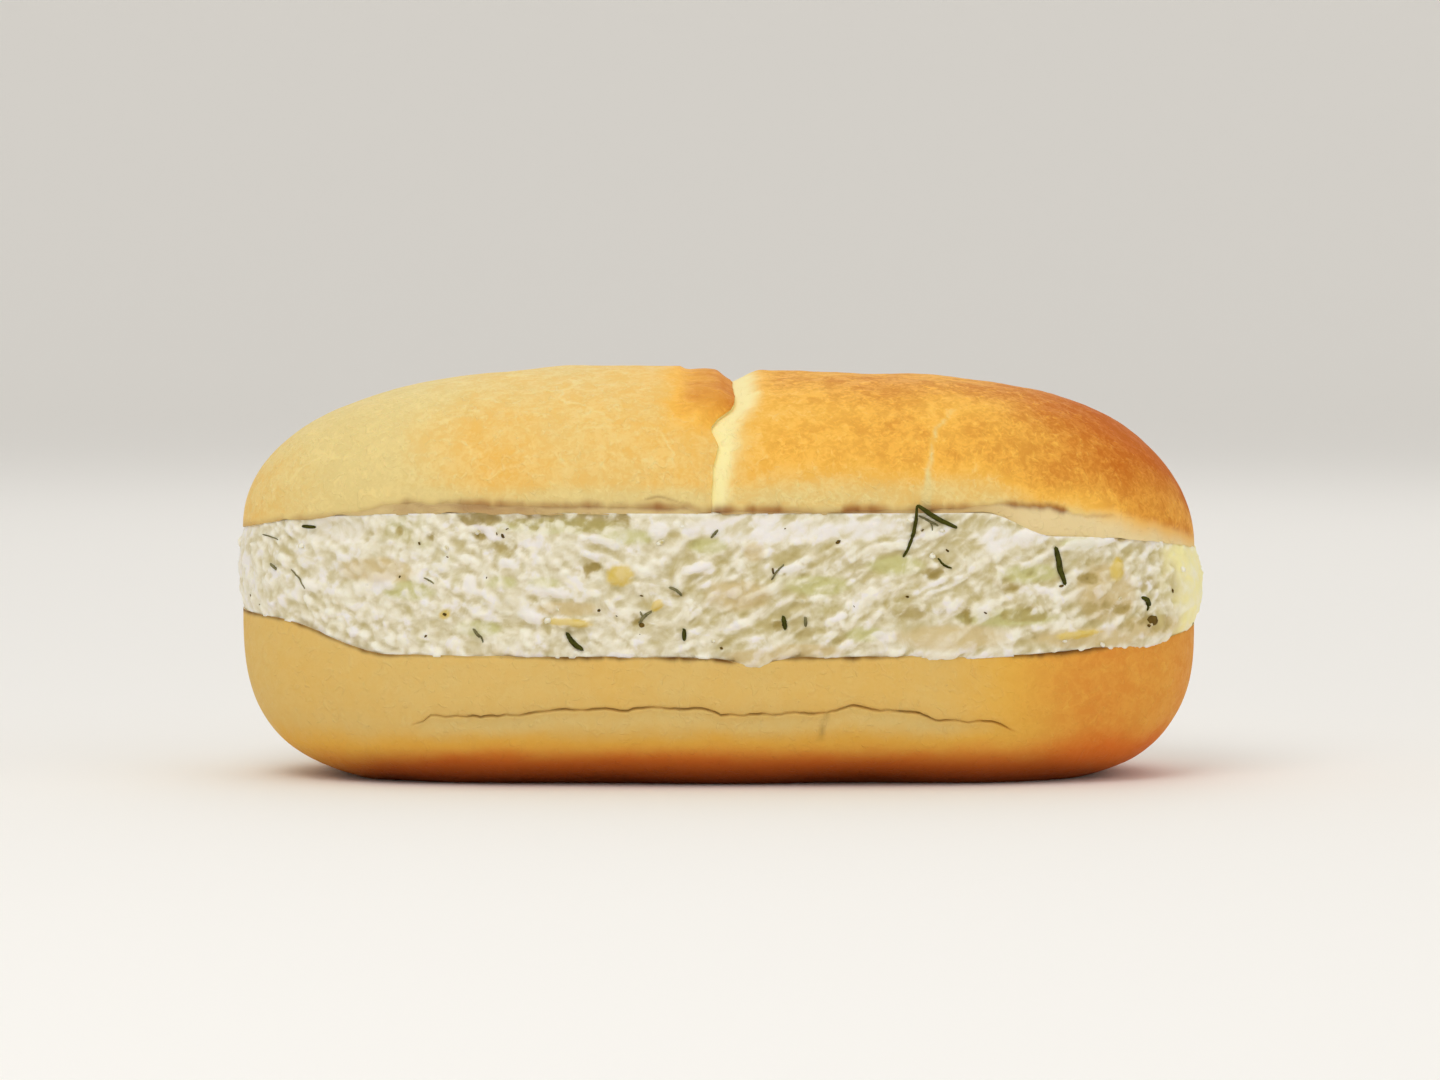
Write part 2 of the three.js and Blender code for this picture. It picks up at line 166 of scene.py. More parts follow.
# Soft strokes in the cheese, and grains: their length, height and depth into it. The strokes and the grains lean
# as the curds do, one way up to the first place along the front and the other way from the second.
STROKE = {"along": 5.4, "across": 1.5, "deep": 3}
GRAINS = (
    {"along": 1.9, "across": 1.3, "deep": 1.5, "left": 0.55, "right": 0.32},
    {"along": 1.05, "across": 0.8, "deep": 0.9, "left": 0.26, "right": 0.2},
)
LEAN_CHANGE = (-16, -2)
WANDER = {"size": 7, "by": 1.9}
GAP_DEPTH = 1

# Oval patches of the cheese on the front: place along the roll, height and half sizes. The back has them too,
# turned round. Smears are smooth, and the white ones are also cool in colour. Shades are olive patches of painted
# shade, not hollow. Gaps are hollows under the crown's rim; their olive, like that of the hollows, is painted shade.
# The first white smear is hollow too, and less white, which paints the crown rim's shade on it.
WHITE_SMEARS = ((-57.5, 38.8, 5, 1.9), (6, 39.4, 10, 2), (20, 39.4, 7, 1.8), (43, 38, 4.4, 2.2))
SMEARS = (*WHITE_SMEARS, (35, 23, 8.5, 2.2), (58, 22.8, 9, 1.4))
HOLLOWS = (
    (-19.9, 33, 0.7, 1.1), (-18.8, 33.8, 0.9, 0.6), (-14.6, 40.5, 1.5, 1.7),
    (-36.2, 38.6, 0.9, 1.7), (56.2, 31.6, 1.5, 0.9), (32.4, 32.8, 1.7, 0.8),
    (37.6, 26.2, 0.8, 1.3), (-43.6, 38.5, 0.6, 0.9), (-48.4, 39, 0.6, 0.7), (61.5, 26.9, 2.2, 0.7),
    (9, 25, 0.8, 0.8), (-6, 29.8, 1.3, 0.6), (24, 26, 1.1, 0.5), (-12.6, 25.6, 1, 0.7), (44, 30.5, 1.8, 0.6),
)
SHADES = (
    (-33, 36.6, 3, 0.8), (30.5, 26.8, 4, 0.9), (46, 26.4, 5, 1), (59, 27, 4, 1), (65.6, 30.4, 1.6, 1.1),
    (62.2, 24.2, 1.4, 0.9), (6, 26.9, 0.8, 1), (67, 24.6, 3, 1.6),
)
GAPS = ((-36, 41, 3.6, 1.4), (-27.5, 40.8, 5, 1.6), (-19.5, 40.7, 4.6, 1.9), (62, 38.6, 4, 0.9))
GREENS = (
    (26.7, 34.1, 4.4, 1.6), (-14, 38.4, 4.5, 1.3), (22, 23.6, 3, 1.2), (-36.4, 24.4, 3.6, 1.3), (-33, 31.4, 2.6, 1),
    (-26.6, 31.4, 2.4, 0.9), (47, 32.6, 5, 1.5), (15, 31, 5, 1.6), (-47, 30, 4, 1.5), (-1.5, 37, 3, 1.2),
    (55, 37, 3, 1), (-24, 40, 10, 1.2), (44, 26, 8, 1.4),
)
BEIGES = (
    (35.2, 23, 8.5, 2), (5.4, 36.1, 1.8, 1.6), (13, 21, 6, 1.2), (56, 22.6, 9, 1.6), (-52, 33, 6, 2), (59, 29.5, 5, 4.5),
    (-23, 27.5, 5, 1.2), (3, 29.5, 5, 2.4), (5.6, 20, 5, 1.5), (66, 24, 6, 1.6),
)

# Yellow lumps in the cheese on the front: place, height, half sizes and lean.
BUTTERS = (
    (-14.9, 32.4, 2.1, 1.6, 12), (-22.6, 25.4, 3.6, 0.7, -4), (60.7, 32.8, 1.1, 1.8, -12), (-9.3, 28, 1.2, 0.8, 40),
    (54.5, 23.2, 4, 0.6, 6), (-41.5, 26.4, 0.9, 0.6, 20),
)

# White lumps in the cheese on the front: place, height, half sizes and lean.
WHITES = (
    (-57.3, 35, 1.8, 0.9, -20), (-51, 32, 2.4, 0.9, 10), (-62.6, 30.5, 2.2, 1, -15), (-37.7, 31, 1, 1.8, 0),
    (-31.7, 34.4, 1.9, 0.9, 5), (-25, 30, 3.4, 0.9, -10), (-28, 26.4, 2.2, 1.3, -20), (-17.7, 37.6, 3, 0.9, -15),
    (-9.2, 39.3, 1.8, 1.6, 0), (-3.2, 33.6, 2.8, 0.9, 8), (11.1, 33.4, 2.5, 0.9, 0), (47.4, 38.2, 3, 1.6, 10),
    (56.3, 37, 5.2, 0.8, 8), (48.2, 30.2, 3.6, 0.8, -5), (40, 26.5, 1, 1.5, 10), (-73.2, 32.8, 1.4, 1.3, 0),
    (-71.8, 30, 1.1, 0.9, 0),
)

# Cheese that hangs over the heel's edge: place along the roll, half length and how far it hangs.
DROOPS = ((5.4, 3.8, 2.1), (9.5, 3, 0.7), (66, 6, 0.9), (34, 6, 0.5), (-30, 5, 0.2))

# Dill, and paler stems: side of the roll, where each starts and ends (along the roll and over the table), its
# thickness, how far it bows to its right and how many side leaves it has.
DILL = (
    ("front", 29.8, 43, 27.9, 35.4, 0.6, 0.6, 0), ("front", 30, 43.1, 36, 39.7, 0.8, -0.25, 0),
    ("front", 33.3, 35, 35.2, 33.6, 0.4, -0.3, 0), ("front", 51.1, 36.4, 52.3, 31, 0.95, -0.1, 0),
    ("front", 64.2, 28.5, 65.6, 27.3, 0.8, 0.1, 1), ("front", -22.9, 23.7, -20.6, 21.3, 0.9, -0.3, 1),
    ("front", -5.3, 24.4, -5.2, 22.8, 0.7, 0, 0), ("front", 9.7, 26.3, 10, 24.5, 0.8, 0, 0),
    ("front", -63.6, 39.4, -61.8, 39.3, 0.6, 0, 0),
    ("back", -44, 32, -41, 38, 0.8, 0.8, 2), ("back", 12, 31.5, 10.6, 39, 0.8, -0.9, 2),
    ("back", 41, 27, 43, 31.4, 0.7, 0.2, 1), ("back", 60, 30.6, 57, 32.6, 0.5, 0.3, 1),
    ("back", -62, 29, -59.4, 31.6, 0.6, 0.2, 0), ("back", -4, 24, -2.4, 22.6, 0.6, 0.1, 1),
)
STEMS = (
    ("front", 30.3, 41.5, 33.2, 40, 0.4, 0, 1), ("front", 31.2, 42, 32.8, 40.9, 0.35, 0, 0),
    ("front", -12, 25.4, -10.2, 27.1, 0.55, 0.2, 1), ("front", 13, 26.2, 13.1, 24.9, 0.55, 0, 0),
    ("front", 8, 32, 9.8, 34.2, 0.35, 0.2, 0), ("front", -65.2, 32.7, -63.1, 29.9, 0.3, 0.3, 0),
    ("front", -68.4, 33.4, -67.3, 32.6, 0.5, 0, 0), ("front", -70, 37.8, -67.4, 37.2, 0.25, 0, 0),
    ("front", -37.1, 24.3, -36.4, 23.1, 0.5, 0, 1), ("front", -7.4, 30.7, -5.6, 29.5, 0.5, 0.2, 0),
    ("front", -1.1, 38.3, -0.2, 39.4, 0.45, 0, 0), ("front", -44.5, 32, -43, 31.2, 0.3, 0.1, 0),
    ("back", -19, 26, -14.5, 29.4, 0.5, 0.4, 1), ("back", 27, 24.6, 29.6, 26, 0.4, 0.1, 0),
    ("back", -31, 22.8, -30.2, 25.4, 0.45, 0, 0), ("back", 52, 24.6, 52.6, 26.6, 0.5, 0, 0),
)

# Dark spots among the herb flecks: place along the front, height and half size.
SPOTS = ((66.2, 24.8, 1), (-11.6, 25, 0.5))


def srgb(red, green, blue):
    """A colour as it looks on a screen, 0 to 255, as Blender stores it."""
    shares = np.array([red, green, blue]) / 255
    return tuple(np.where(shares <= 0.04045, shares / 12.92, ((shares + 0.055) / 1.055) ** 2.4))


# Settings that a user would change.


def length(name, description, default, top):
    return FloatProperty(name=name, description=description, default=default * MM, min=0, max=top * MM,
                         unit="LENGTH", precision=5)


def colour(name, description, default):
    return FloatVectorProperty(name=name, description=description, default=srgb(*default), subtype="COLOR",
                               min=0, max=1)


class SandwichBread(bpy.types.PropertyGroup):
    """Sizes and colours of the two halves of the roll"""

    pale: colour("Pale crust", "Crust that the oven has hardly coloured", (235, 212, 143))
    gold: colour("Golden crust", "Crust of an even gold", (250, 190, 80))
    brown: colour("Brown crust", "Crust where it is baked most", (200, 104, 20))
    low_brown: colour("Brown of the heel", "Heel where it is baked most", (220, 118, 40))
    dough: colour("Dough in the split", "Soft dough that the crown's split lays bare", (255, 243, 178))
    crumb: colour("Crumb", "Inside of the bread at the cut edges", (238, 215, 162))
    scorch: colour("Scorched edge", "Brown of the crown's cut edge and of the base's rim", (128, 54, 14))
    # The lower edge colour is partly the heel's brown cut edge and partly painted shade of the gap under the cheese;
    # in the crease and the crack it is painted shade.
    char: colour("Lower edge", "Dark olive brown of the heel's cut edge and crease", (98, 60, 20))
    # The heel's tint is painted shade: it darkens and cools the lower half's crust, where less light reaches than on
    # the crown.
    tint_and_painted_shade: colour("Painted shade of the heel", "What the crust's colours are multiplied by on the heel", (238, 243, 252))
    split_depth: length("Split depth", "How far the dough in the split lies below the crust", 2.6, 6)
    lip: length("Lip", "How far the crust hangs over the split", 0.8, 3)
    crease_depth: length("Crease depth", "Depth of the crease along the heel's front", 0.7, 3)
    ragged: length("Ragged edge", "How uneven the cut edges of the crust are", 0.45, 2)
    wrinkle: length("Wrinkles", "Depth of the fine wrinkles in the crust", 0.12, 0.5)


class SandwichFilling(bpy.types.PropertyGroup):
    """Sizes and colours of the white cheese and what is mixed into it"""

    cream: colour("Cheese", "The white of the curds", (250, 245, 228))
    # The bluish white is partly the cheese's colour and partly painted highlight: it is laid only on raised parts.
    cool: colour("Smooth cheese", "Bluish white of the smooth patches", (242, 237, 236))
    # The hollows' yellow is painted shade in the hollows and furrows, mixed with tone that differs at random; the
    # crumbs take it for their spots.
    painted_shade_and_tone: colour("Hollows", "Yellowish tint of the hollows between the curds", (203, 188, 134))
    green: colour("Greenish cheese", "Cheese that the herbs have tinted", (206, 204, 132))
    # The olive is painted shade: in the deepest hollows, in the gaps under the crown's rim and in the shade patches.
    olive: colour("Deep hollows", "Olive of the deepest hollows", (170, 146, 64))
    beige: colour("Beige cheese", "Cheese that lies thin over the bread", (216, 194, 140))
    butter: colour("Yellow lumps", "Yellow lumps in the cheese", (224, 196, 88))
    cap: colour("End of the cheese", "Smooth pale yellow cheese at the right end", (255, 244, 174))
    herb: colour("Dill", "Green of the dill", (70, 70, 10))
    stem: colour("Stems", "Olive grey of the stems", (132, 126, 86))
    fleck: colour("Flecks", "Dark flecks of dried herb", (108, 84, 30))
    curds: IntProperty(name="Curds", description="How many curds are joined onto the cheese", default=5200, min=0,
                       max=12000)
    curd: length("Curd size", "Half the size of a large curd", 1.9, 6)
    voxel: length("Fineness", "Size of the cells that the cheese is joined with", 0.395, 2)
    crumbs: IntProperty(name="Crumbs", description="How many loose crumbs stick to the cheese", default=36, min=0,
                        max=2000)
    flecks: IntProperty(name="Herb flecks", description="How many flecks of herb show", default=48, min=0,
                        max=1000)


class SandwichStage(bpy.types.PropertyGroup):
    """Floor, light and camera"""

    floor: colour("Floor", "Pale floor and backdrop", (246, 244, 240))
    key: FloatProperty(name="Key light", description="Power of the large soft light", default=1.95, min=0,
                       unit="POWER")
    fill: FloatProperty(name="Fill light", description="Power of the weaker light from the right", default=0.92,
                        min=0, unit="POWER")
    ceiling: FloatProperty(name="Ceiling light", description="Power of the wide light overhead", default=6.3,
                           min=0, unit="POWER")
    sky: FloatProperty(name="Sky", description="Strength of the even light from all round", default=0.62, min=0)
    distance: FloatProperty(name="Camera distance", description="From the camera to the roll's middle",
                            default=1.05, min=0.3, max=5, unit="LENGTH")
    elevation: FloatProperty(name="Camera elevation", description="How far the camera looks down",
                             default=math.radians(3), min=-0.5, max=1.5, unit="ROTATION")


# Numbers that are the same on every run.


def smooth(start, end, value):
    share = np.clip((value - start) / (end - start), 0, 1)
    return share * share * (3 - 2 * share)


def mix(a, b, share):
    return a + (b - a) * share


def by_end(x, ends):
    return np.where(x < 0, ends["left"], ends["right"])


def lattice(i, j, k):
    return np.mod(np.sin(i * 127.1 + j * 311.7 + k * 74.7) * 43758.5453, 1)


def noise(x, y, z):
    """Smooth noise from -1 to 1 with one feature per unit."""
    x, y, z = np.broadcast_arrays(x, y, z)
    i, j, k = np.floor(x), np.floor(y), np.floor(z)
    u, v, w = [f * f * (3 - 2 * f) for f in (x - i, y - j, z - k)]

    def edge(b, c):
        return mix(lattice(i, j + b, k + c), lattice(i + 1, j + b, k + c), u)

    return 2 * mix(mix(edge(0, 0), edge(1, 0), v), mix(edge(0, 1), edge(1, 1), v), w) - 1


def rough(x, y, z, size, octaves):
    """Noise with finer noise on it, from about -1 to 1. size is that of its largest features."""
    total = 0
    for octave in range(octaves):
        scale = 2**octave / size
        total = total + noise(x * scale + 17 * octave, y * scale, z * scale - 9 * octave) / 1.8**octave
    return total / 1.6


def cell_distance(x, y, z):
    """Distance, in cells, to the nearest of one point per cell."""
    i, j, k = np.floor(x), np.floor(y), np.floor(z)
    nearest = np.full(np.shape(x), 9.0)
    for a in (i - 1, i, i + 1):
        for b in (j - 1, j, j + 1):
            for c in (k - 1, k, k + 1):
                px = a + mix(0.15, 0.85, lattice(a, b, c))
                py = b + mix(0.15, 0.85, lattice(b + 5, c, a))
                pz = c + mix(0.15, 0.85, lattice(c, a + 9, b))
                nearest = np.minimum(nearest, np.sqrt((x - px) ** 2 + (y - py) ** 2 + (z - pz) ** 2))
    return nearest


# Form of the roll, by the formulas of the solids.


def cut(x, face):
    at_end = by_end(x, face["end"]) * np.abs(x / HALF_LENGTH) ** by_end(x, face["power"])
    start, end, by = face["step"]
    return face["height"] + at_end + by * smooth(start, end, x)


def half_width(x):
    return HALF_WIDTH * np.maximum(0, 1 - np.abs(x / HALF_LENGTH) ** OUTLINE_ALONG) ** (1 / OUTLINE_ACROSS)


def crown_rise(x):
    end = cut(np.sign(x) * HALF_LENGTH, UPPER_CUT)
    full = np.sqrt(np.maximum(0, 1 - np.abs(x / HALF_LENGTH) ** by_end(x, CROWN_END)))
    top = mix(CROWN_TOP["left"], CROWN_TOP["right"], smooth(CROWN_TOP["from"], CROWN_TOP["to"], x))
    return mix(end, top, full) - mix(end, cut(x, UPPER_CUT), smooth(0, 0.3, full))


def heel_drop(x):
    end = cut(np.sign(x) * HALF_LENGTH, LOWER_CUT)
    full = np.maximum(0, 1 - np.abs(x / HALF_LENGTH) ** HEEL_END["power"]) ** (1 / HEEL_END["root"])
    return mix(end, cut(x, LOWER_CUT), smooth(0, 0.3, full)) - mix(end, -HEEL_SUNK, full)


def crust_relief(x, y, z):
    return 0.5 * noise(x / 21, y / 17, z / 15) + 0.22 * noise(x / 8, y / 8 + 4, z / 8)


def stations(count, finer_at=None):
    """Places along the roll, closer together at its ends and round one more place."""
    fine = np.linspace(-0.5, 0.5, 8001) * math.pi
    density = np.ones_like(fine)
    if finer_at is not None:
        density += 3.2 * np.exp(-(((HALF_LENGTH * np.sin(fine) - finer_at) / 2.6) ** 2))
    total = np.cumsum(density)
    shares = (np.arange(count) + 1) / (count + 1)
    return HALF_LENGTH * np.sin(np.interp(shares * total[-1], total, fine))


def rim_rows(count, crowding=0.8):
    """Turns from the front rim to the back rim, closer together at both."""
    share = np.linspace(0, 1, count)
    return math.pi * share - crowding * np.sin(2 * math.pi * share) / 2


def crust_points(x, turns, face, reach, up, section):
    """The smooth crust: turn 0 is the front rim and turn pi the back rim. Gives how far across and up each is."""
    facing = np.cos(turns)
    across = -half_width(x) * np.sign(facing) * np.abs(facing) ** (2 / section["side"])
    rise = reach(x) * np.maximum(0, np.sin(turns)) ** (2 / section["top"])
    return across, rise, cut(x, face) + up * rise


def ring_points(x, across, rise, offset, face, up):
    """Moves the crust out by offset, with each ring's ends on the cut, and keeps it above the table."""
    grow = 1 + offset / np.sqrt(across**2 + rise**2 + (0.15 * x) ** 2)
    y = across * grow
    z = np.maximum(0, cut(x, face) + up * rise * grow)
    return y, z


def cut_face(front, back, x, steps, up, face):
    """Points across the cut face, from the back rim to the front rim."""
    share = (np.arange(steps - 1) + 1)[None, :] / steps
    inwards = np.sin(share * math.pi) ** 0.4
    px = mix(back[0][:, None], front[0][:, None], share)
    py = mix(back[1][:, None], front[1][:, None], share)
    edge = mix(back[2][:, None], front[2][:, None], share)
    level = cut(x, face) + up * 0.15 * inwards * (0.6 + 0.4 * noise(x / 3, py / 3, 0))
    return px, py, mix(edge, level, inwards)


def loft(rings, first_pole, last_pole):
    """Quads between rings of points, given as an array of rings by points by 3, closed at both poles."""
    count, size = rings.shape[:2]
    points = np.concatenate([[first_pole], rings.reshape(-1, 3), [last_pole]])
    index = 1 + np.arange(count * size).reshape(count, size)
    after = np.roll(index, -1, axis=1)
    quads = np.stack([index[:-1], index[1:], after[1:], after[:-1]], axis=-1).reshape(-1, 4)
    first = [(0, int(a), int(b)) for a, b in zip(index[0], after[0])]
    last = [(len(points) - 1, int(b), int(a)) for a, b in zip(index[-1], after[-1])]
    return points, quads.tolist() + first + last


# Blender objects.


def inside_box(points):
    """Points in millimetres, kept within the solids' box."""
    return np.clip(points, np.array(CAD_BOX[0]) / MM, np.array(CAD_BOX[1]) / MM)


def make_object(name, points, faces, masks=None):
    """An object from points in millimetres. masks holds values for each point, by attribute name."""
    mesh = bpy.data.meshes.new(name)
    if not isinstance(faces, list):
        faces = faces.tolist()
    mesh.from_pydata(inside_box(np.asarray(points)) * MM, [], faces)
    mesh.shade_smooth()
    for mask, values in (masks or {}).items():
        mesh.attributes.new(mask, "FLOAT", "POINT").data.foreach_set("value", np.asarray(values, np.float32))
    mesh.validate()
    obj = bpy.data.objects.new(name, mesh)
    bpy.context.scene.collection.objects.link(obj)
    return obj


def place(obj, material, slot, replaced=None):
    """Gives a piece its material and its place in the frame."""
    obj.data.materials.append(material)
    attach(obj, BODY)
    if replaced:
        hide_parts(replaced)


# Shader nodes.


class Nodes:
    """Adds nodes to a tree and joins them as they are added."""

    def __init__(self, tree):
        self.tree = tree

    def add(self, kind, inputs=None, **settings):
        node = self.tree.nodes.new(kind)
        for name, value in settings.items():
            setattr(node, name, value)
        for name, value in (inputs or {}).items():
            socket = node.inputs[name]
            if isinstance(value, bpy.types.NodeSocket):
                self.tree.links.new(value, socket)
            else:
                socket.default_value = value
        return node

    def math(self, operation, a, b=0.5, clamp=False):
        return self.add("ShaderNodeMath", {0: a, 1: b}, operation=operation, use_clamp=clamp).outputs[0]

    def ramp(self, value, start, end, low=0, high=1):
        """Value mapped smoothly from start..end to low..high."""
        inputs = {"Value": value, "From Min": start, "From Max": end, "To Min": low, "To Max": high}
        return self.add("ShaderNodeMapRange", inputs, interpolation_type="SMOOTHSTEP").outputs["Result"]

    def blend(self, share, a, b, mode="MIX"):
        node = self.add("ShaderNodeMix", data_type="RGBA", blend_type=mode)
        for index, value in ((0, share), (6, a), (7, b)):
            if isinstance(value, bpy.types.NodeSocket):
                self.tree.links.new(value, node.inputs[index])
            else:
                node.inputs[index].default_value = value if index == 0 else (*value[:3], 1)
        return node.outputs[2]

    def noise(self, place_socket, size, detail=3, distortion=0.0, roughness=0.55):
        """Noise whose features are size millimetres."""
        inputs = {"Vector": place_socket, "Scale": 1 / (size * MM), "Detail": detail, "Distortion": distortion,
                  "Roughness": roughness}
        return self.add("ShaderNodeTexNoise", inputs).outputs["Fac"]

    def mask(self, name):
        return self.add("ShaderNodeAttribute", attribute_name=name).outputs["Fac"]


def new_group(name, inputs, outputs):
    """A node group with named sockets. Gives its nodes, its input node's outputs and a way to set its outputs."""
    tree = bpy.data.node_groups.new(name, "ShaderNodeTree")
    for socket, kind in inputs.items():
        tree.interface.new_socket(socket, in_out="INPUT", socket_type=kind)
    for socket, kind in outputs.items():
        tree.interface.new_socket(socket, in_out="OUTPUT", socket_type=kind)
    nodes = Nodes(tree)
    given = nodes.add("NodeGroupInput").outputs
    result = nodes.add("NodeGroupOutput").inputs
    return nodes, given, result


COLOUR, VALUE = "NodeSocketColor", "NodeSocketFloat"


def crust_group():
    """Colour, roughness and height of baked crust, for the crown and the heel."""
    name = "Baked Crust"
    if name in bpy.data.node_groups:
        return bpy.data.node_groups[name]
    nodes, given, result = new_group(
        name,
        {"Pale": COLOUR, "Gold": COLOUR, "Brown": COLOUR, "Bake": VALUE, "Flecks": VALUE, "Veins": VALUE},
        {"Color": COLOUR, "Roughness": VALUE, "Height": VALUE},
    )
    where = nodes.add("ShaderNodeTexCoord").outputs["Object"]
    blotches = nodes.ramp(nodes.noise(where, 8, 4, 0.6), 0.25, 0.75, -0.05, 0.05)
    specks = nodes.math("ADD", nodes.noise(where, 1.1, 4, 1.4, 0.6), nodes.noise(where, 3.4, 3, 1))
    mottle = nodes.ramp(specks, 0.78, 1.22, -0.065, 0.065)
    flakes = nodes.ramp(nodes.noise(where, 1.5, 3, 1.2, 0.5), 0.5, 0.74)
    vein = nodes.math("MULTIPLY", veins(nodes, where), given["Veins"])
    light_parts = nodes.math("ADD", nodes.math("MULTIPLY", flakes, 0.12), nodes.math("MULTIPLY", vein, 0.16))
    uneven = nodes.math("SUBTRACT", mottle, light_parts)
    change = nodes.math("MULTIPLY", nodes.math("ADD", uneven, blotches), given["Flecks"])
    baked = nodes.math("ADD", given["Bake"], change)
    light = nodes.blend(nodes.ramp(baked, 0.0, 0.55), given["Pale"], given["Gold"])
    full = nodes.blend(nodes.ramp(baked, 0.45, 1.05), light, given["Brown"])
    lightness = nodes.ramp(uneven, -0.16, 0.065, 1.08, 0.94)
    nodes.tree.links.new(nodes.blend(given["Flecks"], full, lightness, "MULTIPLY"), result["Color"])
    nodes.tree.links.new(nodes.ramp(mottle, -0.065, 0.065, 0.52, 0.66), result["Roughness"])
    grain = nodes.noise(where, 0.35, 3)
    height = nodes.math("ADD", nodes.math("MULTIPLY", flakes, 0.5), nodes.math("MULTIPLY", grain, 0.22))
    nodes.tree.links.new(nodes.math("ADD", height, nodes.math("MULTIPLY", vein, 0.4)), result["Height"])
    return nodes.tree


def veins(nodes, where):
    """Fine light lines where the skin of the dough was stretched, broken here and there."""
    bends = nodes.add("ShaderNodeTexNoise", {"Vector": where, "Scale": 160.0, "Detail": 3.0}).outputs["Color"]
    bent = nodes.add("ShaderNodeVectorMath", {0: bends, 1: (0.009, 0.009, 0.009), 2: where},
                     operation="MULTIPLY_ADD").outputs[0]
    cells = nodes.add("ShaderNodeTexVoronoi", {"Vector": bent, "Scale": 70.0}, feature="DISTANCE_TO_EDGE")
    line = nodes.ramp(cells.outputs["Distance"], 0.045, 0.0)
    return nodes.math("MULTIPLY", line, nodes.ramp(nodes.noise(where, 8, 2), 0.48, 0.62))


def new_material(name, settings):
    """A material with a Principled shader whose plain sockets are set directly."""
    material = bpy.data.materials.new(name)
    material.use_nodes = True
    material.node_tree.nodes.clear()
    nodes = Nodes(material.node_tree)
    shader = nodes.add("ShaderNodeBsdfPrincipled", settings)
    nodes.add("ShaderNodeOutputMaterial", {"Surface": shader.outputs[0]})
    return material, nodes, shader.inputs


def use_bump(nodes, sockets, height, distance, strength=1.0):
    bump = nodes.add("ShaderNodeBump", {"Height": height, "Distance": distance * MM, "Strength": strength})
    nodes.tree.links.new(bump.outputs[0], sockets["Normal"])


def crust_material(name, bread, brown, tint_and_painted_shade=(1, 1, 1)):
    material, nodes, sockets = new_material(name, {
        "Subsurface Weight": 0.1, "Subsurface Radius": (1, 0.5, 0.2), "Subsurface Scale": 1.5 * MM,
        "Specular IOR Level": 0.09,
    })
    crust = nodes.add("ShaderNodeGroup", node_tree=crust_group())
    crust.inputs["Brown"].default_value = (*brown, 1)
    # On the heel the pale and golden crust are multiplied by the heel's tint, which paints the shade of the lower
    # half.
    for socket, value in (("Pale", bread.pale), ("Gold", bread.gold)):
        crust.inputs[socket].default_value = (*(part * share for part, share in zip(value, tint_and_painted_shade)), 1)
    nodes.tree.links.new(nodes.mask("bake"), crust.inputs["Bake"])
    nodes.tree.links.new(nodes.mask("flecks"), crust.inputs["Flecks"])
    nodes.tree.links.new(nodes.mask("veins"), crust.inputs["Veins"])
    with_dough = nodes.blend(nodes.mask("dough"), crust.outputs["Color"], bread.dough)
    with_crumb = nodes.blend(nodes.mask("crumb"), with_dough, bread.crumb)
    scorched = nodes.blend(nodes.mask("scorch"), with_crumb, bread.scorch)
    # Last, the heel's cut edge (brown crust and painted shade) and its crease and crack (painted shade).
    with_edge_and_shade = nodes.blend(nodes.mask("char"), scorched, bread.char)
    nodes.tree.links.new(with_edge_and_shade, sockets["Base Color"])
    nodes.tree.links.new(crust.outputs["Roughness"], sockets["Roughness"])
    use_bump(nodes, sockets, crust.outputs["Height"], 0.18)
    return material


# Crown.


def along_line(at, line):
    """A line of places and values, read at other places."""
    places, values = zip(*line)
    return np.interp(at, places, values)


def split_profile(past, high, depth, lip):
    """Sideways and outward moves across the split: a hanging lip, a sharp drop and a slope of soft dough."""
    slope = mix(SPLIT_SLOPE["rim"], SPLIT_SLOPE["top"], high)
    deep = depth * mix(0.4, 1, high)
    fall = smooth(-0.2, 0.3, past)
    climb = smooth(0, 1, np.clip(past / slope, 0, 1)) ** 0.8
    swell = 0.3 * high * np.exp(-(((past + 3.4) / 2.2) ** 2))
    rounding = 0.55 * deep * np.exp(-(((past + 0.1) / 0.8) ** 2)) * (past < 0.15)
    torn = smooth(LEDGE["x"] - LEDGE["half_width"], LEDGE["x"] + LEDGE["half_width"], past) * (past < 0.1)
    ledge = LEDGE["drop"] * smooth(0.8, 0.95, high) * torn
    outward = (swell - rounding - ledge) * (1 - fall) - deep * fall * (1 - climb)
    tip, undercut = np.exp(-((past + 0.15) ** 2) / 0.3), np.exp(-((past - 0.25) ** 2) / 0.05)
    hang = lip * mix(0.5, 1, high) * (tip - 0.5 * undercut)
    return hang, outward


def crumb_strip(x, side):
    """Height of the strip of crumb that shows below the crown's crust. side is -1 at the front."""
    return np.maximum(0, along_line(x, CRUMB_STRIP) * (1 + 0.25 * rough(x, side * 3, 1, 4, 4)))


def crumb_softness(x):
    """How far the crust fades into the crumb, instead of ending in a line."""
    return mix(0.15, 2.2, smooth(53, 61, x))


def edge_line(x, line, side):
    """How brown a cut edge is at x, from a line of places, with finer unevenness."""
    return np.clip(along_line(x, line) * (0.9 + 0.45 * rough(x, side * 9, 4, 2, 3)), 0, 1)


def flake_line(x, above, side):
    """1 on the edge of the lifted flake, and how far a place is below that edge."""
    share = (x - FLAKE["from"]) / (FLAKE["to"] - FLAKE["from"])
    edge = FLAKE["rise"] + FLAKE["bow"] * np.sin(math.pi * np.clip(share, 0, 1)) - FLAKE["fall"] * share**2
    below = edge + 0.3 * rough(x, 2, 5, 1.5, 3) - above
    here = smooth(-0.05, 0.12, share) * smooth(1.05, 0.9, share) * (side < 0)
    return here * np.exp(-((below / 0.26) ** 2)), here * smooth(-0.1, 0.2, below) * smooth(2.6, 1.2, below)


